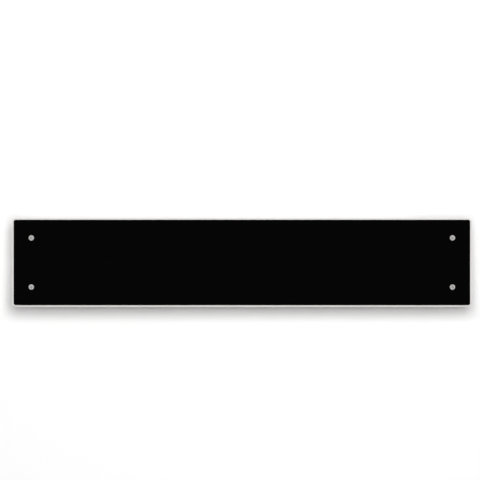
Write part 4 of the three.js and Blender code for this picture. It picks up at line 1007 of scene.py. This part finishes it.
class MakeControl(bpy.types.Operator):
    """Makes the control unit's bezel, its display and its three buttons"""

    bl_idname = "radiator.make_control"
    bl_label = "Control unit"

    bezel_size, bezel_corner, bezel_bevel = (116, 38), 4.0, 1.0
    display_x, display_size, display_back = 481.0, (44.0, 19.0), 86.3
    display_top = BEZEL_TOP - 0.8
    lit_depths = (display_top - 0.05, display_top + 0.03)
    button_hole, button_radius, button_flange = 6.05, 5.6, 6.9

    def bezel(self):
        mesh = bmesh.new()
        bottom, foot, nick, play = BODY_TOP + CONTACT, 0.2, 0.35, 0.4
        bevel = self.bezel_bevel
        outer = rounded((CONTROL_X, CONTROL_D), self.bezel_size, self.bezel_corner, 8)
        side = [(foot, bottom), (0, bottom + foot), *arc((bevel, BEZEL_TOP - bevel), bevel, 2, 1, 5)]
        rims = [walls(mesh, facing_up, outer, side)]
        window_size = [side + play for side in self.display_size]
        cuts = [rounded((self.display_x, CONTROL_D), window_size, 0.9, 4)]
        cuts += [circle((x, CONTROL_D), self.button_hole, 40) for x in BUTTON_X.values()]
        lip = [(-u, BEZEL_TOP - v) for u, v in arc((nick, nick), nick, 2, 3, 3)]
        rims += [walls(mesh, facing_up, cut, [(0, bottom), *lip]) for cut in cuts]
        cap(mesh, rims)
        return mesh

    def digit(self, mesh, code, left, height):
        """The lit segments of one digit. The reader stands in front, so up is towards the wall."""
        thick, gap = 0.115 * height, 0.03 * height
        wide, half = 0.52 * height, height / 2
        for key in SEGMENTS[code]:
            first, second = (Vector((wide * u, half * v)) for u, v in BARS[key])
            along = (second - first).normalized()
            across = Vector((-along.y, along.x)) * thick / 2
            start, end, taper = first + along * gap, second - along * gap, along * thick / 2
            upper = [start + taper + across, end - taper + across]
            lower = [end - taper - across, start + taper - across]
            flat = [(left + p.x, CONTROL_D + half - p.y) for p in (start, *upper, end, *lower)]
            prism(mesh, facing_up, flat, self.lit_depths)

    def heat_waves(self, mesh):
        """Three wavy lines, the usual sign for heat."""
        left_of_middle, pitch, tall, swing, thick = 16.5, 1.7, 4.8, 0.45, 0.52
        for offset in (-pitch, 0.0, pitch):
            middle = self.display_x - left_of_middle + offset
            line = [
                (middle + swing * math.sin(up * 4 * QUARTER), CONTROL_D + tall / 2 - tall * up)
                for up in (step / 12 for step in range(13))
            ]
            left, right = ([(u + side * thick / 2, v) for u, v in line] for side in (-1, 1))
            prism(mesh, facing_up, [*left, *reversed(right)], self.lit_depths)

    def display(self, sizes):
        ease, foot = 0.25, 0.1
        back, top = self.display_back, self.display_top
        face = rounded((self.display_x, CONTROL_D), self.display_size, 0.7, 4)
        side = [(foot, back), (0, back + 2 * foot), *arc((ease, top - ease), ease, 2, 1, 3)]
        mesh = bmesh.new()
        cap(mesh, [walls(mesh, facing_up, face, side)])
        piece("display_window", mesh, [window], "display_window", "display_module")
        lit = bmesh.new()
        height = sizes.digit_height / MM
        # The reading's layout, in heights of a digit
        start, digit_step, dot_step, dot_back, dot_drop, dot_radius = 1.15, 0.8, 0.16, 0.12, 0.48, 0.075
        pen = self.display_x - start * height
        for sign in sizes.reading:
            if sign == ".":
                place = (pen - dot_back * height, CONTROL_D + dot_drop * height)
                prism(lit, facing_up, around(place, dot_radius * height, 16), self.lit_depths)
                pen += dot_step * height
            else:
                self.digit(lit, sign, pen, height)
                pen += digit_step * height
        (low, high), inside, outside, right, down = self.lit_depths, 0.6, 1.1, 0.3, 0.9
        degree = [(inside, low), (outside, low), (outside, high), (inside, high)]
        turned(lit, facing_up, (pen + right, CONTROL_D - height / 2 + down), degree, 24)
        self.heat_waves(lit)
        piece("display_digits", lit, [lit_segment], "display_window")

    def button(self, name, x):
        middle, radius, wide = (x, CONTROL_D), self.button_radius, self.button_flange
        top, flange, ease, depth = BEZEL_TOP + 1.2, 97.0, 0.6, 0.3
        under = flange - 1.4
        stem = [(1.5, 88.6), (1.5, under), (wide, under), (wide, flange), (radius, flange)]
        dome = [(radius - u, top - ease + v) for u, v in arc((ease, 0), ease, 2, 1, 5)]
        mesh = bmesh.new()
        foot, rim = walls(mesh, facing_up, circle(middle), [(-r, w) for r, w in [*stem, *dome]])
        cover(mesh, [foot])
        if name == "select":
            mark, islands = circle(middle, 2.2, 36), [circle(middle, 1.35, 28)]
        else:
            mark, islands = polygon(middle, 1.1, 3, -QUARTER if name == "up" else QUARTER), []
        mouth, floor = walls(mesh, facing_up, mark, [(0, top), (0, top - depth)], slot=1)
        cover(mesh, [rim, mouth])
        rims = [walls(mesh, facing_up, island, [(0, top - depth), (0, top)], slot=1) for island in islands]
        cover(mesh, [floor, *(low for low, _ in rims)], slot=1)
        for _, high in rims:
            cover(mesh, [high])
        piece(
            f"key_{name}", mesh, [satin_plastic, pale_ink], "button_plastic",
            f"button_{name}", body=f"{name}_button", crease=40,
        )

    def execute(self, context):
        piece("control_frame", self.bezel(), [textured_plastic], "black_plastic", "control_bezel")
        self.display(context.scene.radiator_sizes)
        for name, x in BUTTON_X.items():
            self.button(name, x)
        return {"FINISHED"}


class MakeSwitch(bpy.types.Operator):
    """Makes the mains switch in the right end: its body, and the rocker tipped to off"""

    bl_idname = "radiator.make_switch"
    bl_label = "Mains switch"

    pivot_x, tilt = 573.9, math.radians(8)
    frame_size, shell_size, pocket_size = (31, 25), (27.4, 21.6), (22.8, 16.6)
    seat, front, rear, tab_end = 575.05, 577.3, 559.3, 551.3
    rocker_half, rocker_width = 10.5, 15.6
    mark_height = 0.04

    def body(self):
        ease, foot, chamfer, depth = 0.7, 0.1, 0.3, 13.5
        seat, front, rear = self.seat, self.front, self.rear
        middle = (SWITCH_Z, SWITCH_D)
        mesh = bmesh.new()
        side = [(foot, seat), (0, seat + foot), *arc((ease, front - ease), ease, 2, 1, 5)]
        back, edge = walls(mesh, facing_right, rounded(middle, self.frame_size, 2.2, 8), side)
        inside = rounded(middle, self.pocket_size, 0.6, 3)
        mouth, floor = walls(mesh, facing_right, inside, pocket(0.3, front, front - depth))
        cover(mesh, [edge, mouth])
        cover(mesh, [floor])
        shell = [(0, seat), (0, rear + chamfer), (chamfer, rear)]
        root, end = walls(mesh, facing_right, rounded(middle, self.shell_size, 0.8, 4), shell)
        cover(mesh, [back, root])
        cover(mesh, [end])
        offset, wide, thick = 7, 3.15, 0.4
        for z in (SWITCH_Z - offset, SWITCH_Z + offset):
            low = (self.tab_end, SWITCH_D - wide, z - thick)
            block(mesh, low, (rear + chamfer, SWITCH_D + wide, z + thick), 0.1, slot=1)
        return mesh

    def face(self, along):
        """How far the rocker's face stands out from its pivot, at a place along it."""
        middle, rise, blend = 4.0, 1.6, 1.6
        return middle + rise / self.rocker_half * (math.sqrt(along**2 + blend**2) - blend)

    def tipped(self, out, along, depth):
        """A point drawn on the level rocker, after it has tipped about its pivot."""
        x = out * math.cos(self.tilt) + along * math.sin(self.tilt)
        z = along * math.cos(self.tilt) - out * math.sin(self.tilt)
        return at(self.pivot_x + x, depth, SWITCH_Z + z)

    def rocker(self):
        half, side, back, back_half = self.rocker_half, self.rocker_width / 2, -8, 3.5
        top = [(self.face(s), s) for s in (half * (step / 12 - 1) for step in range(25))]
        outline = [(back, back_half), (back, -back_half), (0, -half), *top, (0, half)]
        mesh = bmesh.new()
        prism(mesh, self.tipped, outline, (SWITCH_D - side, SWITCH_D + side))
        soften(mesh, 0.5, 3, 50)
        pin_radius, pin_root, pin_end = 1.4, side - 0.2, side + 1.1
        for reach in ((-pin_end, -pin_root), (pin_root, pin_end)):
            pin = around((0, 0), pin_radius, 20)
            prism(mesh, self.tipped, pin, [SWITCH_D + end for end in reach])
        return mesh

    def strip(self, mesh, left, right, closed):
        """A thin strip between two lines of points of d and place along the rocker."""
        low, high = -self.mark_height, self.mark_height
        rails = [
            [mesh.verts.new(self.tipped(self.face(s) + rise, s, d)) for d, s in line]
            for line, rise in ((left, low), (right, low), (right, high), (left, high))
        ]
        for rail, following in zip(rails, [*rails[1:], rails[0]]):
            span(mesh, rail, following, closed=closed)
        for end in () if closed else (0, -1):
            mesh.faces.new([rail[end] for rail in rails])

    def marks(self):
        """A bar on the upper half, for on, and a ring on the lower half, for off."""
        mesh = bmesh.new()
        half, bottom, tall, steps = 0.45, 3.9, 3.5, 7
        heights = [bottom + step * tall / steps for step in range(steps + 1)]
        left, right = ([(SWITCH_D + side, s) for s in heights] for side in (-half, half))
        self.strip(mesh, left, right, closed=False)
        ring_z, inside, outside = -5.6, 1.35, 2.05
        rings = [around((SWITCH_D, ring_z), radius, 36) for radius in (inside, outside)]
        self.strip(mesh, *rings, closed=True)
        return mesh

    def execute(self, context):
        looks = [satin_plastic, bright_zinc]
        piece("mains_switch", self.body(), looks, "black_plastic", "switch_body")
        piece(
            "mains_rocker", self.rocker(), [satin_plastic], "black_plastic", "switch_rocker",
            body="rocker", crease=50,
        )
        piece("rocker_marks", self.marks(), [pale_ink], "black_plastic", body="rocker")
        return {"FINISHED"}


class MakeBracket(bpy.types.Operator):
    """Makes the wall bracket: two uprights with hooks, the rail, and a lift latch on each"""

    bl_idname = "radiator.make_bracket"
    bl_label = "Wall bracket"

    grip_ribs, grip_half, grip_low, grip_high = (5.6, 7.5, 9.4, 11.3), 14, 102.6, 103.6
    pin_z = 52

    def pin(self, x):
        shank, head, end, seat, top = 2.6, 5, 0.3, 5.1, 7.1
        profile = [(0, end), (shank, end), (shank, seat), (head, seat), (head, 6.4), (4.2, top), (0, top)]
        return lathed((x, self.pin_z), eased(profile, 0.3), 40)

    def execute(self, context):
        for side, middle in (("left", -UPRIGHT_X), ("right", UPRIGHT_X)):
            upright = cad_copy(f"bracket_upright_{side}")
            soften(upright, 0.35)
            piece(f"upright_{side}", upright, [zinc_plate], "zinc_plate", f"bracket_upright_{side}")
            latch = cad_copy(f"bracket_latch_{side}")
            soften(latch, 0.45)
            for d in self.grip_ribs:
                low = (middle - self.grip_half, d - 0.45, self.grip_low)
                block(latch, low, (middle + self.grip_half, d + 0.45, self.grip_high), 0.4)
            piece(
                f"latch_{side}", latch, [pale_plastic], "white_plastic",
                f"bracket_latch_{side}", body=f"{side}_latch",
            )
            piece(
                f"pin_{side}", self.pin(middle), [bright_zinc], "zinc_plate",
                f"latch_pin_{side}", origin=at(middle, 0, self.pin_z),
            )
        rail = cad_copy("bracket_rail")
        soften(rail, 0.35)
        piece("rail", rail, [zinc_plate], "zinc_plate", "bracket_rail")
        return {"FINISHED"}


class MakeBushing(bpy.types.Operator):
    """Makes the bushing in the rear panel where the mains cord leaves"""

    bl_idname = "radiator.make_bushing"
    bl_label = "Cord bushing"

    def execute(self, context):
        bore, body, flange = 4.2, 6.8, 10
        rear, seat, front = 14.7, WALL_GAP - CONTACT, 29.7
        profile = [(bore, rear), (flange, rear), (flange, seat), (body, seat), (body, front), (bore, front)]
        mesh = lathed(CORD_OUTLET, eased(profile, 0.9, 5), 56)
        x, z = CORD_OUTLET
        piece("outlet_bushing", mesh, [rubber], "black_plastic", "cord_bushing", origin=at(x, 0, z))
        return {"FINISHED"}


INSIDE = {
    extrusion: ["element_fins"],
    drawn_steel: ["element_rod"],
    shield_sheet: ["heat_shield"],
    ceramic: ["element_bush_left", "element_bush_right"],
    zinc_plate: ["element_bracket_left", "element_bracket_right", "wireless_module"],
    bright_zinc: [f"rivet_nut_{name}" for name, _, _ in GLASS_CORNERS],
    textured_plastic: ["thermal_cutout", "control_housing", "air_sensor"],
    pale_plastic: ["terminal_block"],
    solder_mask: ["control_board"],
    relay_case: ["power_relay"],
    brown_insulation: ["wire_live"],
    red_insulation: ["wire_switched", "wire_load", "wire_element"],
    blue_insulation: ["wire_neutral"],
    earth_insulation: ["wire_earth"],
}


class FinishInside(bpy.types.Operator):
    """Gives the CAD nodes inside the casing, which stay as they are, their finishes"""

    bl_idname = "radiator.finish_inside"
    bl_label = "Inside"

    def execute(self, context):
        for look, nodes in INSIDE.items():
            for node in nodes:
                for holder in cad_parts[node].material_slots:
                    holder.material = finish(look)
        return {"FINISHED"}


class MakeStage(bpy.types.Operator):
    """Makes the wall, the floor, the lamps, the even light and the camera"""

    bl_idname = "radiator.make_stage"
    bl_label = "Stage"

    reach = 6.0  # metres, from the radiator to the ends of the wall and the floor
    fade = 0.05  # metres beside the radiator, over which a sheet's own glow rises
    white = (1.0, 1.0, 1.0, 1.0)

    def sheet(self, name, points, reflects, glows, closed=False):
        """A white sheet that only the camera sees, and only from its front.

        Light on its way to a surface that the camera sees passes through it, and light that has
        bounced before finds a closed sheet solid. The sheet's own glow is painted light: it is nil
        beside the radiator and rises away from it, so that the shadow stays deep and the background white.
        """
        data = bpy.data.meshes.new(name)
        data.from_pydata(points, [], [(0, 1, 2, 3)])
        made = add_object(name, data)
        material = bpy.data.materials.new(name)
        material.use_nodes = True
        graph = Graph(material.node_tree)
        diffuse = graph.node("ShaderNodeBsdfDiffuse", {}, {"Color": tint(self.white, reflects)})
        # painted light: the glow's mask is 0 beside the radiator and 1 from fade metres away, which paints
        # shade next to it
        beside = graph.along(0).magnitude() - cad_high.x
        beyond = graph.along(2).magnitude() - cad_high.z
        away = beside.greater(beyond).ramp(0.0, self.fade)
        glow = graph.node("ShaderNodeEmission", {}, {"Color": graph.shades(away, self.white, 0.0, glows)})
        both = graph.node("ShaderNodeAddShader", {}, {0: diffuse.outputs[0], 1: glow.outputs[0]})
        clear = graph.node("ShaderNodeBsdfTransparent")
        front = 1.0 - graph.value("ShaderNodeNewGeometry", "Backfacing")
        shown = front * graph.light_path("Is Camera Ray")
        if closed:
            shown = shown + (graph.light_path("Ray Depth") > 1.5)
        shaders = {0: shown.clamped(), 1: clear.outputs[0], 2: both.outputs[0]}
        graph.finish(graph.node("ShaderNodeMixShader", {}, shaders).outputs[0])
        data.materials.append(material)

    def lamp(self, name, energy, place, size):
        """A soft lamp aimed at the radiator. Gloss shows the white world and not the lamp."""
        data = bpy.data.lights.new(name, "AREA")
        data.energy, data.shape = energy, "RECTANGLE"
        data.size, data.size_y = size
        made = add_object(name, data, place)
        made.visible_camera = made.visible_glossy = False
        made.rotation_euler = (-Vector(place)).to_track_quat("-Z", "Y").to_euler()

    def world(self, stage):
        """White to the eye and in gloss, darker to gloss straight ahead, and softer as light.

        The even light is weakest from below in front, as it is over a floor.
        """
        made = bpy.context.scene.world = bpy.data.worlds.new("studio")
        made.use_nodes = True
        graph = Graph(made.node_tree)
        direction = graph.node("ShaderNodeTexCoord").outputs["Generated"]
        split = graph.node("ShaderNodeSeparateXYZ", {}, {0: direction})
        behind, up = Value(graph, split.outputs[1]), Value(graph, split.outputs[2])
        ahead, aside, deepest_shade = -0.88, -0.45, 0.85
        gloss = stage.dark_front + (1 - stage.dark_front) * behind.ramp(ahead, aside)
        shaded = (1.0 - up.ramp(-0.25, 0.05)) * (1.0 - behind.ramp(-0.1, 0.1))
        even = stage.ambient * (1.0 - deepest_shade * shaded)
        sees, mirrors = graph.light_path("Is Camera Ray"), graph.light_path("Is Glossy Ray")
        passes = graph.light_path("Is Transmission Ray")
        plain = (1.0 - (sees + mirrors + passes)).clamped()
        strength = (sees + passes) + mirrors * gloss + plain * even
        light = graph.node("ShaderNodeBackground", {}, {"Color": self.white, "Strength": strength})
        graph.finish(light.outputs[0], "ShaderNodeOutputWorld")

    def camera(self, stage):
        data = bpy.data.cameras.new("camera")
        data.lens, data.sensor_width = stage.lens, 36.0
        place = (-stage.camera_left, -(GLASS_FRONT * MM + stage.distance), stage.camera_z)
        made = add_object("camera", data, place)
        made.rotation_euler = (QUARTER, 0, 0)
        bpy.context.scene.camera = made

    def execute(self, context):
        stage = context.scene.radiator_stage
        far, low, back = self.reach, -stage.floor_drop, 0.0006
        wall = [(-far, back, low), (far, back, low), (far, back, far), (-far, back, far)]
        self.sheet("wall", wall, reflects=1.0, glows=0.14, closed=True)
        floor = [(-far, -far, low), (far, -far, low), (far, far, low), (-far, far, low)]
        self.sheet("floor", floor, reflects=0.5, glows=0.65)
        self.lamp("key", stage.key, place=(0.22, -4.2, 0.77), size=(2.05, 2.66))
        self.lamp("back_light", stage.back, place=(-1.6, 3.8, 1.2), size=(2.0, 1.6))
        self.world(stage)
        self.camera(stage)
        context.scene.view_settings.view_transform = "Standard"
        return {"FINISHED"}


GROUPS = {
    "radiator_sizes": RadiatorSizes,
    "radiator_colours": RadiatorColours,
    "radiator_stage": RadiatorStage,
}

OPERATORS = (
    MakeStage, MakeGlass, MakeGlassFixings, MakeTray, MakeRearPanel, MakeGrilles, MakeEndCaps,
    MakeControl, MakeSwitch, MakeBracket, MakeBushing, FinishInside,
)


class RadiatorPanel(bpy.types.Panel):
    """Lists the radiator's settings and the steps that make it"""

    bl_idname = "VIEW3D_PT_radiator"
    bl_label = "Electric radiator"
    bl_space_type = "VIEW_3D"
    bl_region_type = "UI"
    bl_category = "Radiator"

    def draw(self, context):
        for group in (getattr(context.scene, name) for name in GROUPS):
            box = self.layout.box()
            for name in group.__annotations__:
                box.prop(group, name)
        for operator in OPERATORS:
            self.layout.operator(operator.bl_idname)


def register():
    for made in (*GROUPS.values(), *OPERATORS, RadiatorPanel):
        bpy.utils.register_class(made)
    for name, group in GROUPS.items():
        setattr(bpy.types.Scene, name, PointerProperty(type=group))


def unregister():
    for name in GROUPS:
        delattr(bpy.types.Scene, name)
    for made in (RadiatorPanel, *reversed(OPERATORS), *reversed(GROUPS.values())):
        bpy.utils.unregister_class(made)


def main():
    register()
    for operator in OPERATORS:
        family, step = operator.bl_idname.split(".")
        getattr(getattr(bpy.ops, family), step)()


if __name__ == "__main__":
    main()
